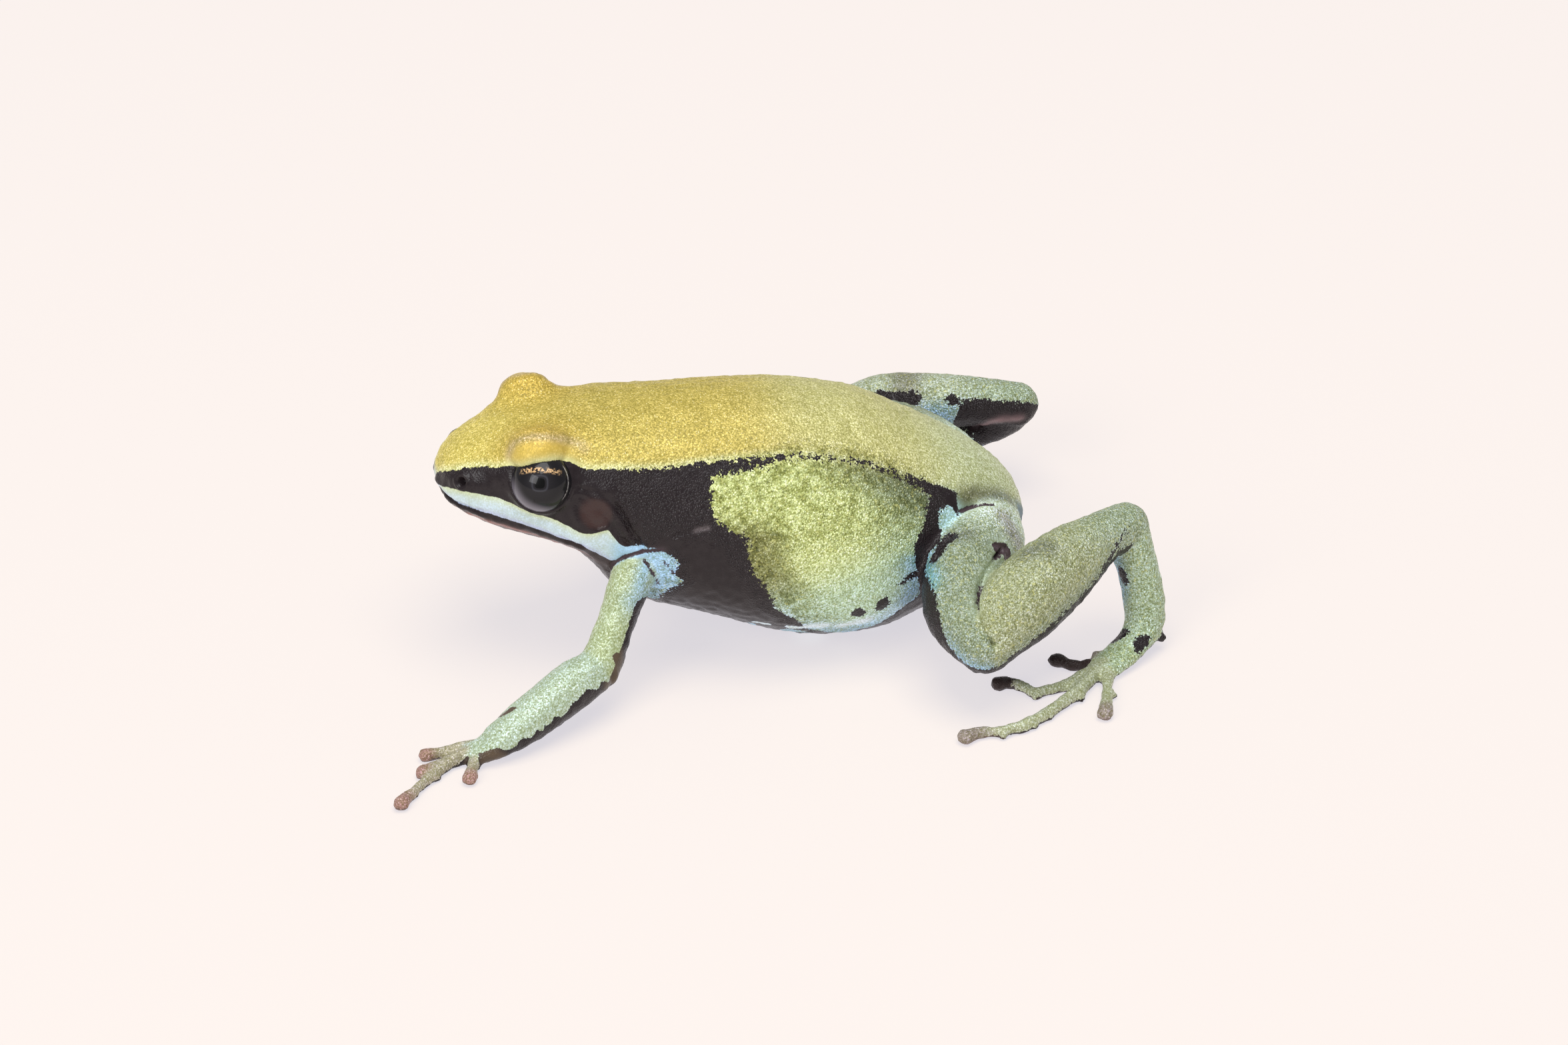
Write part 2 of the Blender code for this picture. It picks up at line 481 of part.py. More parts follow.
def make_materials():
    """One plain Principled material for each finish."""
    made = {}
    for name, (colour, roughness) in FINISHES.items():
        material = bpy.data.materials.new(name)
        material.use_nodes = True
        shader = material.node_tree.nodes["Principled BSDF"]
        shader.inputs["Base Color"].default_value = (*colour, 1)
        shader.inputs["Roughness"].default_value = roughness
        made[name] = material
    return made


def place_in_metres(obj, material):
    """Move to the footprint's middle, scale to metres, shade and colour."""
    obj.data.transform(Matrix.Scale(MM, 4) @ Matrix.Translation((-FOOTPRINT_X, -FOOTPRINT_Y, 0)))
    obj.data.materials.clear()
    obj.data.materials.append(material)
    obj.data.shade_smooth()
    obj.data.set_sharp_from_angle(angle=math.radians(SHARP_ANGLE))


def loose_pieces(obj):
    """Each connected piece of a mesh as its own bmesh."""
    whole = bmesh.new()
    whole.from_mesh(obj.data)
    pieces = []
    taken = set()
    for first in whole.faces:
        if first in taken:
            continue
        found = [first]
        taken.add(first)
        for face in found:
            for edge in face.edges:
                fresh = [other for other in edge.link_faces if other not in taken]
                found += fresh
                taken.update(fresh)
        piece = bmesh.new()
        corners = {}
        for face in found:
            for corner in face.verts:
                if corner not in corners:
                    corners[corner] = piece.verts.new(corner.co)
            piece.faces.new([corners[corner] for corner in face.verts])
        piece.normal_update()
        pieces.append(piece)
    whole.free()
    return pieces


def main():
    for obj in list(bpy.data.objects):
        bpy.data.objects.remove(obj, do_unlink=True)
    materials = make_materials()
    flesh = make_flesh()
    for cutter in make_cutters():
        cut = flesh.modifiers.new("cut", "BOOLEAN")
        cut.operation = "DIFFERENCE"
        cut.solver = "EXACT"
        cut.object = cutter
        apply_modifiers(flesh)
        bpy.data.objects.remove(cutter)
    pieces = loose_pieces(flesh)
    bpy.data.objects.remove(flesh)
    for name, (marker, finish) in NODES.items():
        here = Vector(marker[:3])
        nearest = min(pieces, key=lambda piece: min((v.co - here).length for v in piece.verts))
        pieces.remove(nearest)
        place_in_metres(new_object(name, nearest), materials[finish])
    x, y, z = EYE_CENTRE
    for name, side in (("eye_left", -1), ("eye_right", 1)):
        ball = bmesh.new()
        place = Matrix.Translation((x, side * y, z))
        bmesh.ops.create_icosphere(ball, subdivisions=3, radius=EYE_RADIUS, matrix=place)
        place_in_metres(new_object(name, ball), materials["eye"])


main()
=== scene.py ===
"""Looks of the green mantella: one skin, two eyes, a pale floor, soft light and the photo's view."""

import math
from types import SimpleNamespace

import bmesh
import bpy
import numpy as np
from mathutils import Matrix, Vector


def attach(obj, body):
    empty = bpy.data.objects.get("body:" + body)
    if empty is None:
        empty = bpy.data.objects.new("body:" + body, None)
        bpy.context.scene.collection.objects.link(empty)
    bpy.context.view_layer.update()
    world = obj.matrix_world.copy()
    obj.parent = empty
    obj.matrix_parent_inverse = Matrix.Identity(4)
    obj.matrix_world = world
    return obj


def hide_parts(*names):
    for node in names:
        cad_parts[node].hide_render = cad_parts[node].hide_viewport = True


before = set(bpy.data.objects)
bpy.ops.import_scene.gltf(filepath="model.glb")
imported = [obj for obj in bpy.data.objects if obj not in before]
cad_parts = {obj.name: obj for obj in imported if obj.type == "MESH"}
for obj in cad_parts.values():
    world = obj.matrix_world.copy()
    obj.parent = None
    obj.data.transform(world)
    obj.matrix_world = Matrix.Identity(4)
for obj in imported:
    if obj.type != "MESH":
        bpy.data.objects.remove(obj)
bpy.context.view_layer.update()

# Shapes are worked out in the frog's own millimetres, with the snout towards -X and the right side at +Y
MM = 0.001
VOXEL = 0.17
FOOTPRINT = np.array((-1.3, 0.75, 0))

# Trunk and head, as lines of (x, value) from snout to vent
BACK_LINE = ((-16.5, 9.9), (-16.1, 10.45), (-15.5, 10.95), (-14.9, 11.28), (-14, 11.68), (-13, 12),
             (-11.8, 12.25), (-9, 12.42), (-5, 12.52), (-1, 12.35), (3, 11.6), (6, 10.2), (9, 8.4),
             (10.4, 7.2), (11.1, 6.2), (11.4, 5.4))
BELLY_LINE = ((-16.5, 9), (-16, 8.05), (-14.5, 7.25), (-12, 6.45), (-10.2, 5.8), (-9.2, 4.5), (-8.5, 3.35),
              (-7.6, 2.7), (-6.5, 2.3), (-4, 1.5), (-1, 0.4), (1.5, -0.12), (4, 0), (6.5, 0.95), (9, 2.4),
              (10.8, 4), (11.4, 4.9))
HALF_WIDTH = ((-16.5, 0.7), (-16, 1.7), (-15, 2.55), (-13.5, 3.35), (-12, 3.85), (-10, 4.5), (-8, 4.8),
              (-5.5, 5.3), (-3, 5.8), (0, 6.2), (3, 6.1), (6, 5.2), (8.5, 4.1), (10.3, 2.8), (11.1, 1.8),
              (11.4, 0.9))
WIDEST_HEIGHT = ((-16.5, 9.4), (-14, 9), (-12, 8.9), (-10, 8.3), (-8, 7.4), (-4, 6.2), (0, 5.2),
                 (4, 4.9), (8, 4.9), (11.4, 5.2))
TOP_SQUARENESS = ((-16.5, 2.1), (-14.5, 2.4), (-12, 2.65), (-10, 2.6), (-5, 2.1), (3, 2.05), (11.4, 2))
LOW_SQUARENESS = ((-16.5, 2), (-12, 2.3), (-6, 2.1), (0, 1.95), (11.4, 2))

# Eyes and their lids
EYE_CENTRE = (-11.8, 3.15, 10.38)
EYE_AXIS = (-0.16, 0.86, 0.48)
LID_CENTRE = (-11.97, 2.65, 11.1)
LID_RADII = (2.5, 1.65, 1.8)

# Mouth, nostril and eardrum
MOUTH_LINE = ((-16.5, 8.95), (-15.5, 8.7), (-14.3, 8.6), (-13.5, 8.45), (-12.2, 8.05), (-11, 7.55),
              (-10.2, 7.34), (-9.6, 7.1))
MOUTH_CORNER_X = -10.1
NOSTRIL = (-15.45, 2, 9.95)
EARDRUM = (-9.45, 4.45, 9.15)
EARDRUM_RADIUS = 0.82

# Limbs, as rows of (x, y, z, half width, half height) from the root outwards. Stretches have their name and
# side, which is 1 where their sideways direction points as the angles of the markings need
STRETCHES = (
    ("thigh", 1, ((9.3, -1.4, 5.2, 1.8, 2), (8.9, -3.4, 5.1, 2.1, 2.2), (7.75, -5.8, 4.9, 1.95, 2.1),
        (7.15, -8, 4.4, 1.6, 1.65), (8, -9.9, 3.8, 1.3, 1.35))),
    ("shank", 1, ((8.1, -9.9, 3.8, 1.3, 1.35), (9.95, -8.6, 5.1, 1.85, 2.1), (12.3, -6.9, 5.9, 1.65, 1.95),
        (14.3, -5.5, 6.42, 1.2, 1.25), (15.65, -4.5, 6.27, 1.1, 1.15))),
    ("tarsus", 1, ((15.65, -4.5, 6.27, 1.1, 1.1), (16.15, -4.8, 4.4, 1, 1), (16.5, -5.1, 2.7, 1, 1),
        (16.5, -5.5, 1.4, 0.95, 0.95), (15.9, -6.3, 0.85, 0.8, 0.65))),
    ("sole", 1, ((15.9, -6.2, 0.8, 0.8, 0.65), (15.1, -6.9, 0.55, 0.85, 0.55),
        (14.3, -7.6, 0.42, 0.75, 0.42))),
    ("thigh", -1, ((8.9, 1.4, 5.2, 1.9, 2), (7.9, 3.9, 5, 2.2, 2.2), (6.7, 6.4, 4.7, 2.1, 2.1),
        (5.3, 8.9, 4.1, 1.75, 1.7), (4.2, 11, 3.6, 1.3, 1.35))),
    ("shank", -1, ((4.2, 11, 3.6, 1.3, 1.3), (6.4, 10.9, 4.25, 1.6, 1.55), (8.6, 10.35, 4.6, 1.5, 1.45),
        (10.8, 9.8, 4.85, 1.25, 1.2), (12.85, 9.35, 4.8, 1.1, 1.05))),
    ("tarsus", -1, ((12.85, 9.35, 4.55, 1, 0.95), (12.1, 9.9, 3.4, 0.85, 0.8), (10.4, 10.6, 2.4, 0.88, 0.78),
        (8.7, 11.2, 1.5, 0.86, 0.73), (7.5, 11.6, 0.8, 0.8, 0.62))),
    ("sole", -1, ((7.5, 11.6, 0.75, 0.8, 0.62), (6.6, 12, 0.52, 0.85, 0.52), (5.8, 12.4, 0.42, 0.75, 0.42))),
    ("arm", 1, ((-7.2, -3.7, 6.3, 1.3, 1.3), (-8, -4.9, 5.4, 1, 1.05), (-8.55, -5.6, 4.4, 0.9, 0.95),
        (-9.15, -6.5, 3.4, 0.92, 0.95), (-9.75, -7.4, 2.5, 1, 1))),
    ("forearm", 1, ((-9.75, -7.4, 2.5, 1, 1), (-11, -8.1, 2.2, 1.15, 1.15), (-12.4, -8.95, 1.7, 1.12, 1.1),
        (-13.8, -9.75, 1.2, 1.05, 0.95), (-14.7, -10.2, 0.9, 0.95, 0.75))),
    ("palm", 1, ((-14.7, -10.2, 0.85, 0.92, 0.7), (-15.4, -10.4, 0.6, 0.88, 0.52),
        (-16, -10.4, 0.45, 0.72, 0.42))),
    ("arm", -1, ((-7, 3.7, 6.3, 1.3, 1.3), (-6.6, 5.1, 5.5, 1.1, 1.15), (-6.1, 6.2, 4.8, 1, 1.05),
        (-5.6, 7.2, 4.2, 1, 1), (-5.1, 8.1, 3.6, 1.02, 1))),
    ("forearm", -1, ((-5.1, 8.1, 3.6, 1.02, 1), (-6.3, 9.1, 3, 1.15, 1.1), (-7.6, 10.1, 2.1, 1.05, 1),
        (-8.8, 10.9, 1.25, 0.88, 0.8), (-9.5, 11.3, 0.85, 0.78, 0.65))),
    ("palm", -1, ((-9.5, 11.3, 0.8, 0.78, 0.62), (-10.2, 11.6, 0.58, 0.82, 0.5),
        (-10.8, 11.9, 0.45, 0.72, 0.42))),
)
TOES_LEFT = (
    ((15.4, -6.5, 0.5, 0.35, 0.4), (14.9, -6.7, 0.35, 0.3, 0.35), (14.1, -6.6, 0.31, 0.36, 0.34)),
    ((14.6, -7, 0.45, 0.36, 0.4), (13.6, -7.2, 0.36, 0.3, 0.36), (12.8, -7, 0.3, 0.26, 0.3),
     (12.1, -6.5, 0.31, 0.4, 0.34)),
    ((14.2, -7.6, 0.45, 0.4, 0.42), (13.1, -8, 0.35, 0.32, 0.36), (12.2, -8.6, 0.3, 0.29, 0.31),
     (10.7, -9, 0.29, 0.27, 0.3), (10.15, -8.4, 0.29, 0.27, 0.3), (9.6, -8, 0.29, 0.28, 0.3),
     (9.05, -8.1, 0.32, 0.42, 0.35)),
    ((14.4, -7.5, 0.45, 0.5, 0.45), (13.9, -7.8, 0.42, 0.42, 0.42), (12.6, -9.35, 0.37, 0.37, 0.38),
     (10.9, -10.8, 0.32, 0.33, 0.33), (9.6, -11.65, 0.31, 0.33, 0.32), (8.5, -11.95, 0.29, 0.27, 0.3),
     (7.6, -11.9, 0.29, 0.28, 0.3), (6.8, -12.2, 0.32, 0.42, 0.35)),
    ((14.6, -7.4, 0.45, 0.4, 0.42), (14.25, -8.3, 0.36, 0.33, 0.37), (14, -9.6, 0.31, 0.3, 0.32),
     (13.6, -11.2, 0.32, 0.4, 0.35)),
)
TOES_RIGHT = (
    ((6.8, 11.5, 0.5, 0.35, 0.4), (6, 11.1, 0.35, 0.3, 0.35), (5.4, 10.7, 0.31, 0.36, 0.34)),
    ((6.2, 11.9, 0.45, 0.36, 0.4), (5, 11.5, 0.36, 0.3, 0.36), (4, 11.1, 0.3, 0.26, 0.3),
     (3.2, 10.6, 0.31, 0.4, 0.34)),
    ((5.9, 12.2, 0.45, 0.4, 0.42), (4.6, 12.2, 0.35, 0.32, 0.36), (3.2, 12.2, 0.3, 0.29, 0.31),
     (1.9, 12, 0.29, 0.28, 0.3), (0.9, 11.8, 0.32, 0.42, 0.35)),
    ((6, 12.4, 0.45, 0.5, 0.45), (5.2, 12.9, 0.42, 0.42, 0.42), (3.6, 13.4, 0.37, 0.37, 0.38),
     (1.8, 13.7, 0.32, 0.33, 0.33), (0, 13.8, 0.3, 0.29, 0.31), (-1.4, 13.6, 0.29, 0.28, 0.3),
     (-2.4, 13.5, 0.32, 0.42, 0.35)),
    ((6.2, 12.5, 0.45, 0.4, 0.42), (5.5, 13.5, 0.36, 0.33, 0.37), (4.7, 14.5, 0.31, 0.3, 0.32),
     (3.8, 15.4, 0.32, 0.4, 0.35)),
)
FINGERS_LEFT = (
    ((-15.6, -9.9, 0.45, 0.35, 0.38), (-16.5, -9.85, 0.36, 0.29, 0.35), (-17.4, -10, 0.3, 0.26, 0.3),
     (-18.2, -10.15, 0.31, 0.36, 0.34)),
    ((-15.9, -10.3, 0.42, 0.35, 0.38), (-16.8, -10.55, 0.35, 0.29, 0.34), (-17.7, -11, 0.3, 0.26, 0.3),
     (-18.5, -11.5, 0.31, 0.36, 0.34)),
    ((-15.9, -10.4, 0.45, 0.4, 0.4), (-16.85, -10.75, 0.38, 0.33, 0.37), (-17.95, -11.75, 0.31, 0.29, 0.32),
     (-19.05, -13, 0.29, 0.26, 0.29), (-19.65, -13.85, 0.32, 0.4, 0.35)),
    ((-15.6, -10.3, 0.45, 0.36, 0.4), (-16.05, -11.2, 0.34, 0.29, 0.34), (-16.35, -12.3, 0.32, 0.38, 0.34)),
)
FINGERS_RIGHT = (
    ((-10.3, 11.3, 0.45, 0.35, 0.38), (-11.1, 11.2, 0.36, 0.29, 0.35), (-11.9, 11.1, 0.3, 0.26, 0.3),
     (-12.6, 11.2, 0.31, 0.36, 0.34)),
    ((-10.6, 11.8, 0.42, 0.35, 0.38), (-11.5, 11.9, 0.35, 0.29, 0.34), (-12.4, 12.1, 0.3, 0.26, 0.3),
     (-13.2, 12.3, 0.31, 0.36, 0.34)),
    ((-10.6, 12, 0.45, 0.4, 0.4), (-11.5, 12.5, 0.38, 0.33, 0.37), (-12.6, 13.1, 0.31, 0.29, 0.32),
     (-13.5, 13.7, 0.29, 0.26, 0.29), (-14.1, 14.1, 0.32, 0.4, 0.35)),
    ((-10.3, 12, 0.45, 0.36, 0.4), (-10.6, 13, 0.34, 0.29, 0.34), (-10.9, 14.1, 0.32, 0.38, 0.34)),
)

# Small knobs at the heels and under the toes: centre and radius
KNOBS = ((17.3, -5.85, 0.7, 0.26), (7.9, 12.5, 0.6, 0.26), (12.75, -9.7, 0.22, 0.22), (10.2, -11.6, 0.2, 0.2),
         (8.65, -12.2, 0.2, 0.2), (14.3, -9.6, 0.2, 0.2), (10.6, -9.25, 0.2, 0.2))
TOE_SLIMNESS = 0.8

# Pads under the bends of the digits, in shares of the digit's own size, and the lowest centre of a pad
PAD_WIDTH = 1.2
PAD_HEIGHT = 0.75
PAD_DROP = 0.35
PAD_LOWEST = 0.2

# The visual eyeball, the opening between the lids and the upper lid's edge: (forwards, upwards) in ball radii
BALL_RADIUS = 1.47
SUNK_RADIUS = BALL_RADIUS - 0.4
LID_OPENING = 72.0
LID_LINE = ((-1.6, 0.46), (-1.1, 0.48), (-0.7, 0.47), (-0.1, 0.63), (0.5, 0.70), (1.2, 0.57), (1.6, 0.5))
LOWER_LID = 0.12
UPPER_LID_EXTRA = 0.2
LID_REACH = 2.9
LID_TOP = (-11.8, 2.7, 12.2)

# How far behind the ball's centre the lids reach, and the gap between ball and lid
LID_BACK = 0.4
LID_GAP = 0.07

# Degrees over which the lid thickens and blends into the head, and from where it flares, by mm a degree
LID_THICKENING = 8.0
LID_BLEND = 19.0
LID_FLARE_FROM = 12
LID_FLARE = 0.012

# Crease round the upper lid, in the same measure
LID_CREASE = ((1.35, 1), (1.1, 1.22), (0.3, 1.42), (-0.32, 1.43), (-0.7, 1.33), (-0.97, 1.07), (-1.1, 0.72))
LID_CREASE_WIDTH = 0.1
LID_CREASE_DEPTH = 0.08

# Rounds of evening out: the whole skin, the lids' domes, the finer mesh, the lids' rims and the markings
SKIN_SOFTNESS = 12
LID_SOFTNESS = 16
FINE_SOFTNESS = 2
RIM_SOFTNESS = 30
MARK_SMOOTHING = 2

# Waves of the skin's fine relief
WAVE_SIZES = (0.75, 0.48)
WAVE_COUNT = 14
WAVE_HEIGHT = 0.010 / 2.6

# Places where the mesh is finer, as (centre, radius), and how far that goes beside a fold
FINE_PLACES = (((-11.8, 3.7, 10.38), 2.1), (NOSTRIL, 0.75), (EARDRUM, 1.25))
FINE_BY_FOLD = 0.42

# Relief as rows of (depth, distance from the line or centre, half width)
MOUTH_RELIEF = ((0.22, 0, 0.1), (-0.07, 0.3, 0.18), (-0.05, -0.25, 0.15))
NOSTRIL_RELIEF = ((0.42, 0, 0.17), (-0.09, 0.33, 0.11))

# Depth of the eardrum's hollow, and height and width of the rim round it
DRUM_HOLLOW = 0.1
DRUM_RIM = 0.07
DRUM_RIM_WIDTH = 0.1

# Lines that are both folds and marks
SHOULDER_LINE = ((-8.75, -4.52, 6.43), (-8.18, -4.76, 6.87), (-7.59, -4.87, 7.11), (-7.01, -4.98, 7.24),
                 (-6.43, -5.09, 7.3))
SHOULDER_VEIN = ((-7.3, -5.02, 6.8), (-6.95, -5.16, 6.2), (-6.75, -4.9, 5.6), (-6.63, -4.77, 5.24))
HIP_LINE = ((7.88, -3.67, 7.28), (8.38, -3.39, 7.28), (8.88, -3.23, 7.29), (9.57, -3.13, 7.2))
THIGH_CREASE = ((9, -6.7, 6.35), (8.55, -7.4, 6.25), (8.08, -8.15, 5.98), (7.85, -8.85, 5.75),
                (7.75, -9.6, 5.42))

# Folds of the skin on both sides, as (points on the left, half width, depth)
FOLDS = (
    (((-9.4, -4.2, 10.3), (-8.75, -4.5, 9.8), (-8.3, -4.6, 9.2), (-7.9, -4.75, 8.35), (-7.4, -4.9, 7.4)),
     0.14, 0.22),
    (((-9.2, -4.3, 9.8), (-8.9, -4.6, 8.9), (-8.4, -4.7, 8), (-7.7, -4.9, 7.35)), 0.1, 0.13),
)

# Folds on the left side alone
LEFT_FOLDS = (
    (((-9, -8.2, 2.9), (-9.25, -8.1, 2.2), (-9.4, -7.9, 1.7)), 0.12, 0.14),
    (((9.55, -5.75, 6.3), *THIGH_CREASE, (7.85, -10.4, 4.98), (8.3, -10.98, 4.53)), 0.1, 0.5),
    (((6.24, -5.87, 6.2), (6.55, -5.47, 6.51), (6.98, -5.16, 6.79), (7.52, -4.94, 7.05), (8.13, -4.87, 7.17)),
     0.14, 0.24),
    (((8.97, -5.79, 6.76), (9.4, -5.65, 6.55), (9.79, -5.49, 6.23)), 0.12, 0.12),
    (((9.3, -4.94, 6.93), (9.85, -4.75, 6.65), (10.33, -4.58, 6.22)), 0.12, 0.12),
    (((9.72, -3.97, 7.01), (10.25, -3.7, 6.7), (10.71, -3.49, 6.24)), 0.12, 0.1),
    (((-4.28, -5.25, 8.46), (-5.14, -5.16, 8.3), (-5.92, -5.11, 8.01)), 0.1, 0.05),
    (SHOULDER_LINE, 0.09, 0.1),
    (SHOULDER_VEIN, 0.1, 0.06),
    (HIP_LINE, 0.1, 0.12),
)
PALE_STREAK = ((-4.3, -5.25, 8.45), (-4.9, -5.2, 8.33))

# Border between the gold back and the dark side, as (x, value) lines of its height and its place sideways
EDGE_HEIGHT = ((-16.5, 9.6), (-15.8, 10.2), (-14.5, 10.7), (-13.5, 11.35), (-12.6, 11.75), (-11.7, 11.65),
               (-10.8, 11.3), (-9.1, 11.08), (-6.5, 10.91), (-3.5, 11.1), (-0.4, 11.06), (1.2, 10.84),
               (2.8, 10.49), (4.7, 9.71), (6.6, 8.68), (7.6, 8.14), (8.3, 7.68), (10.5, 6.6))
EDGE_SIDE = ((-16.5, 0.5), (-15.8, 1.37), (-14.5, 2.05), (-13.5, 3.1), (-12.6, 3.5), (-11.7, 3.6),
             (-9.1, 3.6), (-6.5, 3.68), (1.2, 3.53), (4.7, 3.46), (6.6, 3.23), (8.3, 3.05), (10.5, 1.6))

# Pale stripe along the upper lip, from the snout to LIP_END
LIP_TOP = ((-16.5, 9.2), (-16.3, 9.3), (-15.6, 9.55), (-14.9, 9.6), (-14.1, 9.6), (-13.3, 9.45),
           (-12.3, 9.05), (-11.5, 8.85), (-10.7, 8.45), (-10.1, 8.15), (-9.6, 8.2), (-9.15, 8.35),
           (-8.93, 8.4), (-8.7, 8), (-8.4, 7.6), (-7.9, 7.35), (-7.4, 7.1))
LIP_BOTTOM = ((-16.5, 9.1), (-16.2, 8.9), (-15.5, 8.65), *MOUTH_LINE[2:7], (-9.9, 7.2), (-9.3, 6.87),
              (-8.5, 6.5), (-7.4, 6.4))
LIP_END = -7.2

# Green patch of the flank: its front and rear edges over height, its lower edge and top band over x
PATCH_FRONT = ((2, 0.6), (3.3, -0.3), (3.8, -1), (5.1, -1.6), (6.2, -2.2), (6.9, -2.5), (7.9, -2.55),
               (8.4, -3.5), (9.4, -4.1), (10.6, -4))
PATCH_REAR = ((2, 5.9), (4.4, 5.7), (5.6, 5.5), (6.5, 5.45), (7.2, 5.9), (8, 6.2), (8.6, 6.6),
              (10.6, 6.6))
PATCH_FOOT = ((-2, 3.3), (-1, 2.9), (0, 2.2), (1.05, 1.8), (2.3, 1.2), (3.7, 2), (5.2, 3.3), (6, 3.9))
BAND = ((-5, 1), (-4, 0.8), (-2.5, 0.6), (-1, 0.35), (0.2, 0.05), (2.5, 0.05), (4, 0.15), (5, 0.3),
        (6, 0.5), (6.6, 0.95), (8, 1.5))

# Blue patch at the shoulder, its rear edge over height, and the light zones at the hip
SHOULDER_REAR = ((3.6, -6.6), (4.5, -6.4), (5, -5.9), (5.5, -5.5), (6, -5.85), (6.6, -5.7), (7.05, -6.1),
                 (7.4, -6.6), (7.6, -7.2))
SHOULDER_FRONT = -8.4
SHOULDER_FOOT = 3.6
SHOULDER_TOP = 7.45
HIP_FRONT = 7.75
HIP_FOOT = 4.6
HIP_OVAL = ((7.2, 7.13), (0.45, 0.62), 20)

# Half the diagonal of a square, degrees in a radian, where the flank starts sideways, and out of reach
DIAGONAL = 0.707
RADIAN = 57.3
FLANK_FROM = 3
FAR = 99.0

# Colours, linear
GOLD = (0.64, 0.51, 0.12)
SNOUT_GOLD = (0.80, 0.66, 0.17)
LID_GOLD = (0.68, 0.47, 0.08)
PALE_EDGE = (0.86, 0.88, 0.50)
# Painted highlight along the crease round the upper lid
CREASE_HIGHLIGHT = (0.60, 0.48, 0.30)
OLIVE = (0.67, 0.64, 0.27)
RUMP_GREEN = (0.64, 0.70, 0.42)
RUMP_DUSK = (0.11, 0.11, 0.06)
RUMP_GREY = (0.46, 0.44, 0.45)
FLANK_OLIVE = (0.33, 0.34, 0.13)
FLANK_REAR = (0.60, 0.72, 0.43)
FLANK_MINT = (0.62, 0.82, 0.60)
HIP_MINT = (0.84, 0.99, 0.82)
YELLOW_GREEN = (0.78, 0.87, 0.39)
MINT = (0.54, 0.66, 0.51)
BLUE = (0.36, 0.58, 0.74)
# The flank's blue darkened by painted shade, low in front of the thigh
REAR_BLUE_SHADE = (0.18, 0.32, 0.44)
THIGH_BLUE = (0.25, 0.56, 0.68)
THIGH_DUSK = (0.20, 0.22, 0.17)
EDGE_BLUE = (0.62, 0.84, 0.97)
PALE_BLUE = (0.80, 0.93, 1)
SHOULDER_BLUE = (0.46, 0.72, 0.95)
OVAL_BLUE = (0.52, 0.78, 0.80)
LIP_BLUE = (0.68, 0.83, 0.88)
LIP_RIM = (0.72, 0.80, 0.50)
LILAC = (0.58, 0.66, 0.90)
ARM_GREEN = (0.53, 0.62, 0.38)
SHANK_OLIVE = (0.48, 0.52, 0.32)
ANKLE_GREEN = (0.42, 0.51, 0.37)
TARSUS_GREEN = (0.53, 0.66, 0.47)
SOLE_GREEN = (0.54, 0.67, 0.45)
TOE_GREEN = (0.54, 0.58, 0.39)
THIGH_OLIVE = (0.36, 0.43, 0.31)
RIGHT_SHANK = (0.57, 0.64, 0.48)
CROSSBAR = (0.25, 0.24, 0.17)
BLACK = (0.019, 0.013, 0.015)
DRUM_BROWN = (0.060, 0.032, 0.029)
STREAK_PALE = (0.30, 0.25, 0.26)
THROAT_BROWN = (0.035, 0.020, 0.018)
RIM_RED = (0.42, 0.13, 0.09)
MARK_BROWN = (0.12, 0.085, 0.055)
FOLD_PINK = (0.42, 0.26, 0.27)
# Plum marks, partly painted shade along the folds and the thigh's crease
PLUM_AND_CREASE_SHADE = (0.085, 0.055, 0.065)
TIP_BROWN = (0.20, 0.12, 0.09)
TIP_GREY = (0.36, 0.30, 0.26)
FINGER_TAN = (0.50, 0.46, 0.34)
TIP_RED = (0.44, 0.26, 0.22)
TIP_DARK = (0.05, 0.032, 0.03)
SHADE = (0, 0, 0)
TINT_YELLOW = (0.88, 0.86, 0.30)
TINT_OLIVE = (0.22, 0.27, 0.15)
GLINT = (0.97, 0.95, 0.66)
# Painted sheen on the black skin, as grey blotches
SHEEN_GREY = (0.05, 0.04, 0.042)
# Painted glints on the black skin, as small pale specks
SPECK_GLINT_GREY = (0.20, 0.17, 0.18)
IRIS_MIDDLE = (0.020, 0.018, 0.021)
IRIS_OUTER = (0.010, 0.009, 0.011)
IRIS_GOLD = (0.78, 0.50, 0.25)
PUPIL_BLACK = (0.002, 0.002, 0.002)
PUPIL_HALO = (0.07, 0.07, 0.085)
# Painted reflection of the pale surroundings on the eye, as a grey crescent
REFLECTION_GREY = (0.24, 0.22, 0.27)
RIM_GREY = (0.70, 0.67, 0.65)

# Small dark spots on the flank's blue edge, as (centre, half axes, turn) in the side view
FLANK_SPOTS = (((2.72, 3.43), (0.36, 0.36), 0), ((3.88, 3.75), (0.33, 0.5), -30),
               ((5.2, 5), (0.7, 0.16), 25))

# Pale spots on the belly, as (centre, radius)
BELLY_SPOTS = (
    ((-2.3, -4, 1.6), 0.55), ((-0.2, -4.4, 1.4), 0.7), ((2.4, -3.8, 0.9), 0.6), ((0.9, -2.4, 0.2), 0.8),
    ((-3.2, -1.8, 0.9), 0.6), ((3.9, -1.5, 0.4), 0.7), ((-1.4, 0.4, 0.2), 0.7), ((-5.2, 1.6, 1.7), 0.5),
    ((1.6, 2.1, 0.2), 0.9), ((4.4, 2.6, 1), 0.6), ((-1, 3.6, 1.2), 0.7), ((-3.6, 3.4, 1.8), 0.5),
    ((6.6, 0.6, 1.4), 0.6), ((-8.3, 0.2, 3.8), 0.5), ((-10.4, 1.7, 5.8), 0.45), ((-10.2, -1.3, 5.7), 0.4),
)

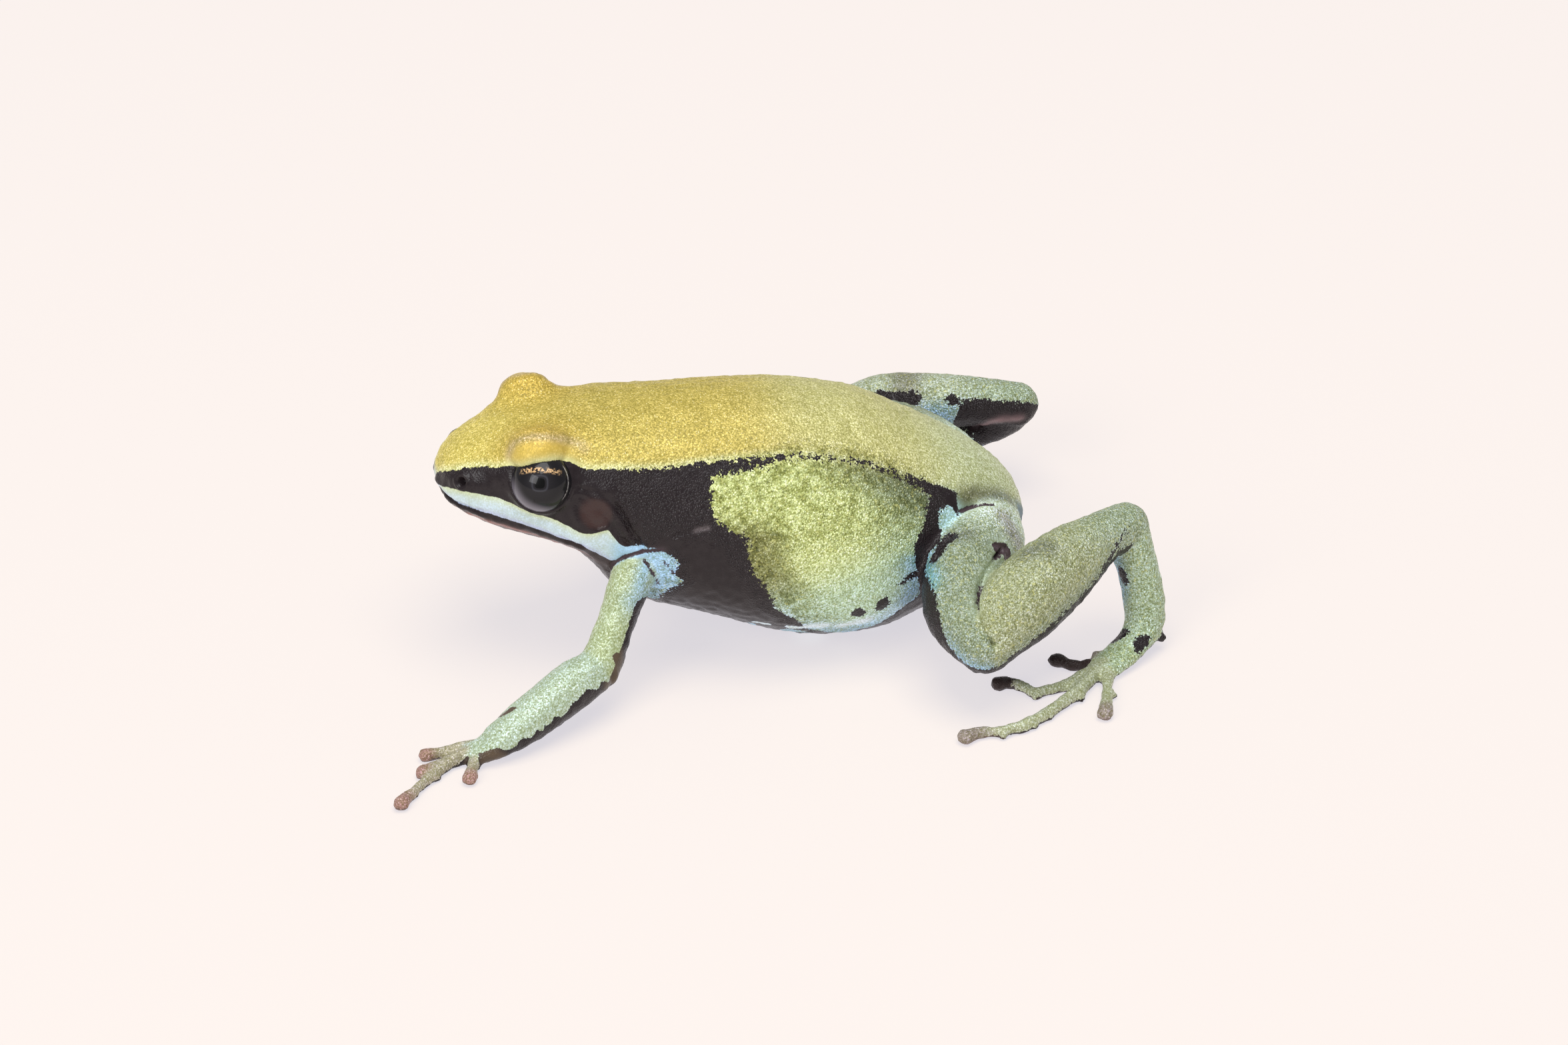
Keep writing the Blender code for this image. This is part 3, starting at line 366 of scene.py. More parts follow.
# Black marks on the limbs, as (points, half width)
LIMB_MARKS = (
    (((15.48, -5.74, 7), (15.19, -6.15, 6.85), (14.83, -6.59, 6.6)), 0.11),
    (((14.83, -6.59, 6.55), (14.44, -7.02, 6.2), (14.05, -7.43, 5.97)), 0.15),
    (((15.3, -5.4, 4.3), (15.35, -5.5, 3.8)), 0.3),
    (((14.97, -6.17, 1.02), (15.38, -6.16, 1.32)), 0.34),
    (((16.3, -6.8, 1.25), (15.95, -7, 1.05)), 0.3),
    (((6.1, 9.9, 5.4), (6.8, 9.6, 5.4), (7.7, 9.4, 5.5)), 0.4),
    (((9.5, 9.03, 5.57), (9.6, 9.03, 5.55)), 0.28),
    (((6.33, -5.88, 6.31), (6.79, -5.38, 6.69), (7.2, -5.2, 6.9)), 0.4),
)

# Marks of another dark colour, as (points, half width, colour), and how far the colours spread past them
TINTED_MARKS = (
    # The plum lines along the folds and the thigh's crease are partly painted shade in the creases
    (((9.3, -5.8, 6.5), (9.75, -5.6, 6.2), (9.75, -5.8, 5.9)), 0.3, PLUM_AND_CREASE_SHADE),
    (((9.4, -6.1, 6.2), *THIGH_CREASE), 0.1, PLUM_AND_CREASE_SHADE),
    (((-8.98, -7.69, 3.32), (-8.92, -7.91, 2.71), (-9.25, -8.24, 2.32)), 0.2, MARK_BROWN),
    (((-14.6, -9.5, 1.75), (-14.3, -9.55, 1.95), (-14, -9.6, 2.1)), 0.2, MARK_BROWN),
    (((10.51, 9.69, 3.41), (10.98, 9.37, 3.69), (11.45, 8.63, 4.26), (12, 8.43, 4.49), (12.88, 8.31, 4.57)),
     0.1, FOLD_PINK),
    (SHOULDER_LINE, 0.1, PLUM_AND_CREASE_SHADE),
    (SHOULDER_VEIN, 0.09, PLUM_AND_CREASE_SHADE),
    (((-6.4, -5.13, 6.75), (-6.1, -5.13, 6.3), (-6.01, -5.13, 6.02)), 0.1, PLUM_AND_CREASE_SHADE),
    (HIP_LINE, 0.1, PLUM_AND_CREASE_SHADE),
)
BROWN_HALO = 0.3
FOLD_HALO = 0.02

# Small pale marks low on the left flank, as (points, half width)
PALE_MARKS = (
    (((-2.1, -4.6, 2.5), (-1.4, -4.75, 2.42)), 0.17),
    (((-0.5, -4.95, 2.3), (0.2, -5.1, 2.4), (0.72, -5.3, 2.52), (1.2, -5.35, 2.5)), 0.2),
    (((2, -5.21, 2.35), (2.6, -5.35, 2.5), (3.18, -5.41, 2.72)), 0.2),
)

# Soft patches of another light colour on the left, as (points, half width, colour)
SOFT_PATCHES = (
    (((6.02, -5.33, 5.72), (5.93, -6.63, 5.82), (6.02, -7.3, 5.76)), 0.5, THIGH_BLUE),
    (((10, -3.84, 6.9), (10.23, -4.38, 6.48), (10.52, -4.59, 5.84)), 0.6, RUMP_GREY),
    (((8.2, -3.1, 7.7), (8.72, -2.75, 7.6), (9.4, -2.5, 7.35), (10.1, -2.1, 6.95), (10.5, -1.9, 6.5)), 0.5,
     RUMP_DUSK),
    (((7.4, -5.2, 6.95), (7.9, -5.3, 6.95)), 0.5, THIGH_DUSK),
    (((10.3, -7.9, 7.48), (11.05, -7.7, 7.66), (11.3, -7.9, 7.6)), 0.6, THIGH_DUSK),
    (((-7.59, -5.71, 5.8), (-7.26, -5.17, 6.53)), 0.35, SHOULDER_BLUE),
    # Painted shade: the flank's blue darkened low in front of the thigh
    (((5.2, -5.3, 3.6), (5.8, -5.1, 4.4)), 0.6, REAR_BLUE_SHADE),
)

# Stretches of limb: first and last angle of the light zone round them, and its colour. Angles start at the
# side that faces forwards or outwards and rise over the top
LIGHT_ZONES = {
    "thigh": (12, 165, THIGH_OLIVE),
    "shank": (-12, 235, SHANK_OLIVE),
    "tarsus": (-70, 200, TARSUS_GREEN),
    "sole": (-20, 200, SOLE_GREEN),
    "arm": (-30, 156, ARM_GREEN),
    "forearm": (-5, 160, MINT),
    "palm": (-5, 140, MINT),
}

# Skin and tip of the digits, and how ragged the borders are on legs, arms and digits
DIGIT_COLOURS = {"toe": (TOE_GREEN, TIP_GREY), "finger": (FINGER_TAN, TIP_RED)}
LEG_FUZZ = 0.19
ARM_FUZZ = 0.09
DIGIT_FUZZ = 0.1

# Digits as (name, share of the length where dark skin starts, rows). Toes count from 0 at the inner one
DARK_FROM = {1: 0.3, 2: 0.87}
DIGITS = [("toe", DARK_FROM.get(k % 5, 1), rows) for k, rows in enumerate(TOES_LEFT + TOES_RIGHT)]
DIGITS += [("finger", 1, rows) for rows in FINGERS_LEFT + FINGERS_RIGHT]

# Camera, in degrees, metres and pixels, aimed at a place in the frog's millimetres
CAMERA_AZIMUTH = -8.0
CAMERA_ELEVATION = 33.0
CAMERA_DISTANCE = 0.3
CAMERA_TARGET = (0, 0, 5)
FOCAL_PIXELS = 9450.0
PHOTO_WIDTH = 2352
SENSOR_WIDTH = 36

# Floor, sky and square lights as (name, place, size, power), in metres and watts
FLOOR_SIZE = 3.0
FLOOR_COLOUR = (0.312, 0.252, 0.164)
FLOOR_GLOW = (0.651, 0.634, 0.688)
WORLD_COLOUR = (0.98, 0.99, 1)
WORLD_STRENGTH = 0.31
LIGHTS = (("top_box", (0.02, -0.05, 0.42), 0.3, 1.24), ("front_box", (-0.3, -0.3, 0.3), 0.25, 0.9))


def line_at(pairs, place):
    """Value at each place on a smooth line through (place, value) pairs that never overshoots."""
    at, value = np.array(pairs, float).T
    step = np.diff(at)
    rise = np.diff(value) / step
    slope = np.zeros_like(value)
    product = rise[:-1] * rise[1:]
    same_way = product > 0
    slope[1:-1][same_way] = 2 * product[same_way] / (rise[:-1] + rise[1:])[same_way]
    slope[0] = rise[0]
    slope[-1] = rise[-1]
    k = np.clip(np.searchsorted(at, place) - 1, 0, len(step) - 1)
    t = np.clip((place - at[k]) / step[k], 0, 1)
    return (value[k] * (1 + 2 * t) * (1 - t) ** 2 + slope[k] * step[k] * t * (1 - t) ** 2
            + value[k + 1] * t * t * (3 - 2 * t) + slope[k + 1] * step[k] * t * t * (t - 1))


def add_tube(shape, rings):
    """Closed tube through rings of points, with a fan over each end."""
    rows = [[shape.verts.new(point) for point in ring] for ring in rings]
    sides = len(rows[0])
    for near, far in zip(rows, rows[1:]):
        for i in range(sides):
            j = (i + 1) % sides
            shape.faces.new((near[i], near[j], far[j], far[i]))
    for row, outward in ((rows[0], True), (rows[-1], False)):
        middle = shape.verts.new(sum((v.co for v in row), Vector()) / sides)
        for i in range(sides):
            j = (i + 1) % sides
            corners = (row[j], row[i], middle) if outward else (row[i], row[j], middle)
            shape.faces.new(corners)


def trunk_section(x):
    """Section of the trunk at x: widest height, half width, reach above and below, both squarenesses."""
    middle = line_at(WIDEST_HEIGHT, x)
    wide, top, low = (line_at(line, x) for line in (HALF_WIDTH, TOP_SQUARENESS, LOW_SQUARENESS))
    return middle, wide, line_at(BACK_LINE, x) - middle, middle - line_at(BELLY_LINE, x), top, low


def add_trunk(shape, stations=70, sides=56):
    """Head and trunk as one loft of rounded cross-sections along X."""
    along = 0.5 - 0.5 * np.cos(np.linspace(0, math.pi, stations))
    x_all = BACK_LINE[0][0] + along * (BACK_LINE[-1][0] - BACK_LINE[0][0])
    angle = np.linspace(0, 2 * math.pi, sides, endpoint=False)
    rings = []
    for x in x_all:
        middle, wide, above, below, top, low = trunk_section(x)
        upper = np.sin(angle) >= 0
        power = np.where(upper, 2 / top, 2 / low)
        y = wide * np.sign(np.cos(angle)) * np.abs(np.cos(angle)) ** power
        z = middle + np.where(upper, above, below) * np.sign(np.sin(angle)) * np.abs(np.sin(angle)) ** power
        rings.append([(x, b, c) for b, c in zip(y, z)])
    add_tube(shape, rings)


def limb_path(rows, steps=8):
    """Rows of (x, y, z, half width, half height) made dense along a smooth curve."""
    rows = np.array(rows, float)
    padded = np.vstack((2 * rows[0] - rows[1], rows, 2 * rows[-1] - rows[-2]))
    dense = []
    for a, b, c, d in zip(padded, padded[1:], padded[2:], padded[3:]):
        for t in np.arange(steps) / steps:
            dense.append(0.5 * (2 * b + (c - a) * t + (2 * a - 5 * b + 4 * c - d) * t ** 2
                                + (3 * b - a - 3 * c + d) * t ** 3))
    dense.append(rows[-1])
    return np.array(dense)


def limb_frame(rows):
    """Dense path of a limb with its centres and its forward, sideways and upward directions."""
    path = limb_path(rows)
    centre = path[:, :3]
    run = np.gradient(centre, axis=0)
    run /= np.linalg.norm(run, axis=1)[:, None]
    side = np.cross(run, (0.0, 0.0, 1.0))
    for i in range(1, len(side)):
        if side[i] @ side[i - 1] < 0:
            side[i] *= -1
    side /= np.linalg.norm(side, axis=1)[:, None]
    return path, centre, run, side, np.cross(side, run)


def add_limb(shape, rows, sides=20):
    """Tapered limb of oval section with round ends, its height axis as upright as its run allows."""
    path, centre, run, side, rise = limb_frame(rows)
    angle = np.linspace(0, 2 * math.pi, sides, endpoint=False)

    def ring(k, shift, shrink):
        wide, high = path[k, 3:] * shrink
        middle = centre[k] + run[k] * shift
        return [middle + side[k] * wide * math.cos(a) + rise[k] * high * math.sin(a) for a in angle]

    cap_angles = np.radians((80, 60, 40, 20))
    start = path[0, 3:].mean()
    finish = path[-1, 3:].mean()
    rings = [ring(0, -start * math.sin(a), math.cos(a)) for a in cap_angles]
    rings += [ring(k, 0, 1) for k in range(len(path))]
    rings += [ring(-1, finish * math.sin(a), math.cos(a)) for a in cap_angles[::-1]]
    add_tube(shape, rings)


def add_ball(shape, centre, radii, sides=24, rows=14):
    """Ellipsoid with its three half axes along X, Y and Z."""
    x, y, z = centre
    wide, deep, high = radii
    turn = np.linspace(0, 2 * math.pi, sides, endpoint=False)
    rings = []
    for lift in np.linspace(-math.pi / 2, math.pi / 2, rows + 2)[1:-1]:
        slim = math.cos(lift)
        rings.append([(x + wide * slim * math.cos(a), y + deep * slim * math.sin(a),
                       z + high * math.sin(lift)) for a in turn])
    add_tube(shape, rings)


def add_toe(shape, rows):
    """Toe or finger, with a small round pad under each bend."""
    slim = [(x, y, z, wide * TOE_SLIMNESS, high) for x, y, z, wide, high in rows[:-1]]
    add_limb(shape, slim + [rows[-1]], sides=14)
    for x, y, z, wide, high in rows[1:-1]:
        low = max(z - high * PAD_DROP, PAD_LOWEST)
        add_ball(shape, (x, y, low), (wide * PAD_WIDTH, wide * PAD_WIDTH, high * PAD_HEIGHT))


def add_all_flesh(shape):
    """Every form of the frog but the eyeballs, overlapping where they join."""
    add_trunk(shape)
    for side in (-1, 1):
        x, y, z = LID_CENTRE
        add_ball(shape, (x, side * y, z), LID_RADII)
    for *_, rows in STRETCHES:
        add_limb(shape, rows)
    for *centre, radius in KNOBS:
        add_ball(shape, centre, (radius,) * 3)
    for *_, rows in DIGITS:
        add_toe(shape, rows)


def new_object(name, shape):
    """Object with the mesh of a bmesh, linked to the scene."""
    mesh = bpy.data.meshes.new(name)
    shape.to_mesh(mesh)
    shape.free()
    obj = bpy.data.objects.new(name, mesh)
    bpy.context.collection.objects.link(obj)
    return obj


def apply_modifiers(obj):
    """Give the object its evaluated mesh and clear its modifiers."""
    bpy.context.view_layer.update()
    depsgraph = bpy.context.evaluated_depsgraph_get()
    mesh = bpy.data.meshes.new_from_object(obj.evaluated_get(depsgraph))
    obj.modifiers.clear()
    obj.data = mesh


def read_points(mesh, kind="co"):
    """Vertex places or normals as an array of rows."""
    rows = np.empty(len(mesh.vertices) * 3)
    source = mesh.vertices if kind == "co" else mesh.vertex_normals
    source.foreach_get("co" if kind == "co" else "vector", rows)
    return rows.reshape(-1, 3)


def neighbour_mean(mesh):
    """A function that gives, for rows of values at the vertices, the mean over each vertex's neighbours."""
    ends = np.empty(len(mesh.edges) * 2, dtype=np.int64)
    mesh.edges.foreach_get("vertices", ends)
    first, second = ends.reshape(-1, 2).T
    total = len(mesh.vertices)
    count = np.bincount(ends, minlength=total)

    def mean(values):
        columns = [np.bincount(first, column[second], total) + np.bincount(second, column[first], total)
                   for column in values.T]
        return np.column_stack(columns) / count[:, None]

    return mean


def relax(mesh, rounds, weight, pulls=(0.5, -0.52)):
    """Even out creases: each round pulls points to their neighbours, then back, so that little shrinks."""
    points = read_points(mesh)
    mean = neighbour_mean(mesh)
    for pull in pulls * rounds:
        points += pull * weight[:, None] * (mean(points) - points)
    mesh.vertices.foreach_set("co", points.ravel())
    mesh.update()


def bell(distance, reach):
    """Falls smoothly from 1 at no distance towards 0 past the reach."""
    return np.exp(-(distance / reach) ** 2)


def step_up(value, width):
    """Rises smoothly from 0 well below zero to 1 well above it."""
    return 1 / (1 + np.exp(-np.clip(value / width, -30, 30)))


def paint(base, *coats):
    """A base colour under coats of (colour, share), mixed point by point."""
    for colour, share in coats:
        share = np.clip(np.atleast_1d(share), 0, 1)[:, None]
        base = np.asarray(base) * (1 - share) + np.asarray(colour) * share
    return base


def both_sides(points):
    """The points with the right half folded over onto the left."""
    folded = points.copy()
    folded[:, 1] = -np.abs(points[:, 1])
    return folded


def pair_offset(points, centre):
    """Offset from a centre on the right for the right half, and from its mirror image for the left."""
    return both_sides(points) * (1, -1, 1) - np.array(centre)


def pair_distance(points, centre):
    """Distance to a centre on the right or to its mirror image, whichever is on the point's side."""
    return np.linalg.norm(pair_offset(points, centre), axis=1)


def eardrum_distance(folded):
    """Distance from the eardrum's middle in the side view, or far where the point isn't on the flank."""
    x, y, z = folded.T
    return np.where(-y > FLANK_FROM, np.hypot(x - EARDRUM[0], z - EARDRUM[2]), FAR)


def path_distance(points, path, reach=1.5, steps=6):
    """Distance from each point to a smooth line through the path, or FAR where that is beyond reach."""
    line = limb_path([(*p, 0, 0) for p in path], steps)[:, :3]
    low = line.min(axis=0) - reach
    high = line.max(axis=0) + reach
    near = np.flatnonzero(((points > low) & (points < high)).all(axis=1))
    distance = np.full(len(points), FAR)
    here = points[near]
    best = np.full(len(near), FAR)
    for a, b in zip(line, line[1:]):
        run = b - a
        t = np.clip((here - a) @ run / (run @ run), 0, 1)
        best = np.minimum(best, np.linalg.norm(here - a - t[:, None] * run, axis=1))
    distance[near] = best
    return distance


def refine(mesh, wanted):
    """Halve the edges of the faces whose corners are all wanted."""
    shape = bmesh.new()
    shape.from_mesh(mesh)
    shape.verts.ensure_lookup_table()
    faces = [f for f in shape.faces if all(wanted[v.index] for v in f.verts)]
    edges = list({e for f in faces for e in f.edges})
    bmesh.ops.subdivide_edges(shape, edges=edges, cuts=1, use_grid_fill=True)
    bmesh.ops.triangulate(shape, faces=[f for f in shape.faces if len(f.verts) > 4])
    shape.to_mesh(mesh)
    shape.free()


def eye_directions(side):
    """Centre of an eye and its outward, upward and forward directions."""
    x, y, z = EYE_CENTRE
    centre = np.array((x, side * y, z))
    outward = np.array((EYE_AXIS[0], side * EYE_AXIS[1], EYE_AXIS[2]))
    outward /= np.linalg.norm(outward)
    upward = np.array((0.0, 0.0, 1.0)) - outward[2] * outward
    upward /= np.linalg.norm(upward)
    forward = np.cross(upward, outward) * -side
    return centre, outward, upward, forward


def eye_plane(folded):
    """Place of each point seen along the left eye's axis: forwards, upwards and distance, in ball radii."""
    centre, _, upward, forward = eye_directions(-1)
    offset = (folded - centre) / BALL_RADIUS
    return offset @ forward, offset @ upward, np.linalg.norm(offset, axis=1)


def lid_crease(ahead, up, reach):
    """Strength of the crease round the upper lid at places seen along the eye's axis."""
    seen = np.column_stack((ahead, up, np.zeros(len(ahead))))
    distance = path_distance(seen, [(*p, 0) for p in LID_CREASE], 0.8)
    return bell(distance, LID_CREASE_WIDTH) * (reach < 2.4)


def open_eyes(points):
    """Lids that wrap each eyeball, with the skin sunk inside the ball within the opening."""
    for side in (-1, 1):
        centre, outward, upward, forward = eye_directions(side)
        offset = points - centre
        reach = np.linalg.norm(offset, axis=1)
        near = np.flatnonzero((reach < LID_REACH) & (offset @ outward > -LID_BACK))
        offset = offset[near]
        reach = reach[near]
        unit = offset / reach[:, None]
        lift = unit @ upward
        height = line_at(LID_LINE, unit @ forward)
        tilt = np.degrees(np.arccos(np.clip(unit @ outward, -1, 1)))
        under_lid = np.degrees(np.arcsin(height)) - np.degrees(np.arcsin(np.clip(lift, -1, 1)))
        opening = np.minimum(LID_OPENING - tilt, under_lid)
        closing = np.maximum(-opening, 0)
        thick = LOWER_LID + UPPER_LID_EXTRA * step_up(lift - 0.35, 0.06)
        lid = BALL_RADIUS + LID_GAP + thick * (1 - np.exp(-closing / LID_THICKENING))
        lid += LID_FLARE * np.maximum(closing - LID_FLARE_FROM, 0)
        wrapped = reach + bell(closing, LID_BLEND) * (lid - reach)
        inside = step_up(opening - 1.5, 0.9)
        points[near] = centre + unit * (wrapped + inside * (SUNK_RADIUS - wrapped))[:, None]


def relief(distance, rows):
    """Depth of grooves, less the height of ridges, given as rows of (depth, place, half width)."""
    return sum(depth * bell(distance - place, width) for depth, place, width in rows)


def press_forms(points, normals):
    """Mouth, nostrils, eardrums and the folds of the skin, as moves along the normals."""
    folded = both_sides(points)
    x, _, z = folded.T
    depth = relief(z - line_at(MOUTH_LINE, x), MOUTH_RELIEF) * step_up(MOUTH_CORNER_X - x, 0.08)
    depth += relief(pair_distance(folded, NOSTRIL), NOSTRIL_RELIEF)
    drum = eardrum_distance(folded) - EARDRUM_RADIUS
    depth += DRUM_HOLLOW * step_up(-DRUM_RIM_WIDTH - drum, 0.04) - DRUM_RIM * bell(drum, DRUM_RIM_WIDTH)
    depth += LID_CREASE_DEPTH * lid_crease(*eye_plane(folded))
    for path, width, deep in FOLDS:
        depth += deep * bell(path_distance(folded, path), width)
    for path, width, deep in LEFT_FOLDS:
        depth += deep * bell(path_distance(points, path), width)
    points -= normals * depth[:, None]


def limb_coordinates(points, rows):
    """How far along a limb each point lies (0 to 1), its offset sideways and upwards, and their length."""
    path, centre, run, side, rise = limb_frame(rows)
    nearest = np.zeros(len(points), dtype=int)
    best = np.full(len(points), FAR ** 2)
    for k, middle in enumerate(centre):
        distance = ((points - middle) ** 2).sum(axis=1)
        closer = distance < best
        best[closer] = distance[closer]
        nearest[closer] = k
    offset = points - centre[nearest]
    out = (offset * side[nearest]).sum(axis=1) / path[nearest, 3]
    up = (offset * rise[nearest]).sum(axis=1) / path[nearest, 4]
    ahead = (offset * run[nearest]).sum(axis=1) / path[nearest, 3:].mean(axis=1)
    travelled = np.concatenate(((0,), np.cumsum(np.linalg.norm(np.diff(centre, axis=0), axis=1))))
    return travelled[nearest] / travelled[-1], out, up, np.sqrt(out ** 2 + up ** 2 + ahead ** 2)


def trunk_nearness(points):
    """About 1 on the surface of the trunk and lids, more outside."""
    x, y, z = points.T
    middle, wide, above, below, top, low = trunk_section(x)
    high = np.where(z > middle, above, below)
    power = np.where(z > middle, top, low)
    trunk = (np.abs(y / wide) ** power + np.abs((z - middle) / high) ** power) ** (1 / power)
    return np.minimum(trunk, np.linalg.norm(pair_offset(points, LID_CENTRE) / LID_RADII, axis=1))


def ellipse(x, z, centre, radii, turn):
    """Rough signed distance in mm into an ellipse in the side view, turned by degrees."""
    c = math.cos(math.radians(turn))
    s = math.sin(math.radians(turn))
    a = (x - centre[0]) * c + (z - centre[1]) * s
    b = (z - centre[1]) * c - (x - centre[0]) * s
    return (1 - np.hypot(a / radii[0], b / radii[1])) * min(radii)


def trunk_zones(points):
    """How far in mm each point lies inside each light zone of head and trunk, and its place at the eye."""
    folded = both_sides(points)
    x, y, z = folded.T
    flank = -y
    above = ((z - line_at(EDGE_HEIGHT, x)) - (flank - line_at(EDGE_SIDE, x))) * DIAGONAL
    lip = np.minimum(line_at(LIP_TOP, x) - z, z - line_at(LIP_BOTTOM, x))
    inward = x - line_at(PATCH_FRONT, z)
    low_edge = z - line_at(PATCH_FOOT, x)
    patch = np.minimum.reduce((inward, 0.12 + 0.3 * inward, line_at(PATCH_REAR, z) - x, low_edge,
                               -above - line_at(BAND, x)))
    shoulder = np.minimum.reduce((line_at(SHOULDER_REAR, z) - x, x - SHOULDER_FRONT, z - SHOULDER_FOOT,
                                  SHOULDER_TOP - z))
    ahead, up, reach = eye_plane(folded)
    at_eye = step_up(1.5 - reach, 0.08) * step_up(1.3 - np.abs(ahead), 0.08)
    over_lid = (up - line_at(LID_LINE, ahead)) * BALL_RADIUS
    underside = z < line_at(BELLY_LINE, x) + 2.2
    return SimpleNamespace(
        folded=folded, x=x, z=z, flank=flank, inward=inward, low_edge=low_edge, patch=patch, at_eye=at_eye,
        above=above * (1 - at_eye) + over_lid * at_eye,
        crease=lid_crease(ahead, up, reach),
        lip=np.where(x < LIP_END, lip, -FAR),
        shoulder=np.where((flank > 3.5) & (z > 2), shoulder, -FAR),
        oval=ellipse(x, z, *HIP_OVAL),
        hip=np.minimum(x - HIP_FRONT, z - HIP_FOOT),
        inside=np.maximum(step_up(inward - 1.7, 0.3), step_up(z - 8.5, 0.2)),
        underside=underside,
        chin=underside & (z < line_at(LIP_BOTTOM, x) - 0.8))


def trunk_dark(points, zone):
    """Dark field in mm on head and trunk, above zero where the skin is black."""
    dark = -np.maximum.reduce((zone.above, zone.lip, zone.patch, np.minimum(zone.shoulder, 0.2), zone.oval,
                               zone.hip))
    for spot in FLANK_SPOTS:
        dark = np.maximum(dark, np.where(zone.flank > FLANK_FROM, ellipse(zone.x, zone.z, *spot), -FAR))
    for centre, radius in BELLY_SPOTS:
        outside = np.linalg.norm(points - np.array(centre), axis=1) - radius
        dark = np.where(zone.underside, np.minimum(dark, outside), dark)
    return dark


def trunk_fuzz(zone):
    """How ragged the border between light and dark is on head and trunk."""
    x, z, above = zone.x, zone.z, zone.above
    fuzz = np.where(above > -0.25, 0.1, 0.03)
    granular = step_up(x + 8.4, 0.2) * step_up(-above, 0.2) * step_up(z - 8.3 + 0.1 * (x + 8), 0.25)
    fuzz += 0.2 * granular * step_up(6.5 - x, 0.4)
    fuzz += (0.1 + 0.22 * (1 - zone.inside)) * step_up(zone.patch + 0.7, 0.2)
    fuzz += 0.3 * bell(above + line_at(BAND, x), 0.55) * step_up(x + 2.5, 0.6) * step_up(6.5 - x, 0.5)
    fuzz = np.where(zone.shoulder > -0.5, 0.32, fuzz)
    fuzz = np.where(zone.lip > -0.3, 0.02, fuzz)
    return np.where((above > -0.3) & (zone.at_eye > 0.5), 0.04, fuzz)


def trunk_light(zone):
    """Light colour on head and trunk: gold back, green patch, pale lip stripe and blue hollows."""
    x, z, above, low_edge = zone.x, zone.z, zone.above, zone.low_edge
    # The pale line along the lid's crease is a painted highlight
    back = paint(
        GOLD, (OLIVE, step_up(x + 0.6, 0.8)), (RUMP_GREEN, step_up(x - 7.0, 0.8)),
        (SNOUT_GOLD, step_up(-13.2 - x, 0.7)), (LID_GOLD, bell(pair_distance(zone.folded, LID_TOP), 1.9)),
        (CREASE_HIGHLIGHT, 0.75 * zone.crease), (PALE_EDGE, 0.75 * bell(above - 0.05, 0.17) * (above > -0.4)))
    side = paint(
        FLANK_OLIVE, (YELLOW_GREEN, zone.inside), (FLANK_REAR, step_up(x - 3.6, 0.6)),
        (FLANK_MINT, step_up(5.4 - z + 0.3 * (x - 1), 0.5)), (EDGE_BLUE, step_up(1.1 - low_edge, 0.25)),
        (BLUE, step_up(x - 4.9, 0.25) * (z < 6.2) * step_up(low_edge - 0.7, 0.2)),
        (SHADE, 0.66 * step_up(x - 1.2, 0.8) * step_up(0.9 + 0.18 * x + above, 0.4)))
    stripe = paint(LIP_BLUE, (LIP_RIM, bell(line_at(LIP_TOP, x) - z, 0.22)),
                   (LILAC, bell(z - line_at(LIP_BOTTOM, x), 0.22)))
    low_hip = step_up(zone.hip, 0.4) * step_up(7.1 - z, 0.2) * step_up(zone.flank - 3.0, 0.2)
    return paint(
        back, (side, step_up(-above - 0.1, 0.15)), (stripe, step_up(zone.lip + 0.3, 0.08)),
        (SHOULDER_BLUE, step_up(zone.shoulder + 0.3, 0.1)), (FLANK_MINT, low_hip),
        (OVAL_BLUE, step_up(zone.oval + 0.3, 0.1)),
        (BLUE, np.maximum(step_up(2.2 - z, 0.3), zone.chin * step_up(-6 - x, 0.3))))


def trunk_under(zone):
    """Dark colour on head and trunk: black, with a pale streak, eardrum, throat and rim of the mouth."""
    x, z = zone.x, zone.z
    jaw = line_at(LIP_BOTTOM, x) - z
    return paint(BLACK, (STREAK_PALE, 0.8 * bell(path_distance(zone.folded, PALE_STREAK), 0.09)),
                 (DRUM_BROWN, step_up(EARDRUM_RADIUS - 0.1 - eardrum_distance(zone.folded), 0.03)),
                 (THROAT_BROWN, step_up(-7 - x, 0.8) * step_up(7.0 - z, 0.5)),
                 (RIM_RED, bell(jaw - 0.62, 0.14) * step_up(MOUTH_CORNER_X - x, 0.3)))


def mark_trunk(points):
    """Dark field in mm, its fuzziness, light colour and dark colour on head and trunk."""
    zone = trunk_zones(points)
    return trunk_dark(points, zone), trunk_fuzz(zone), trunk_light(zone), trunk_under(zone)


def light_borders(name, side, along):
    """First and last angle of the light zone at each place along a stretch of limb, in degrees."""
    first, last, _ = LIGHT_ZONES[name]
    if name == "thigh":
        first = first + 33 * bell(along - 0.73, 0.14) - 30 * step_up(along - 0.86, 0.03)
        last = last + 60 * step_up(0.28 - along, 0.03)
    elif name == "shank" and side < 0:
        last = last - 92 * step_up(along - 0.67, 0.015)
    elif name == "arm":
        last = last + 60 * step_up(0.34 - along, 0.02)
    elif name == "forearm":
        last = last + 24 * np.abs(np.sin(along * 19 + 2 * np.sin(along * 9)))
    return first, last


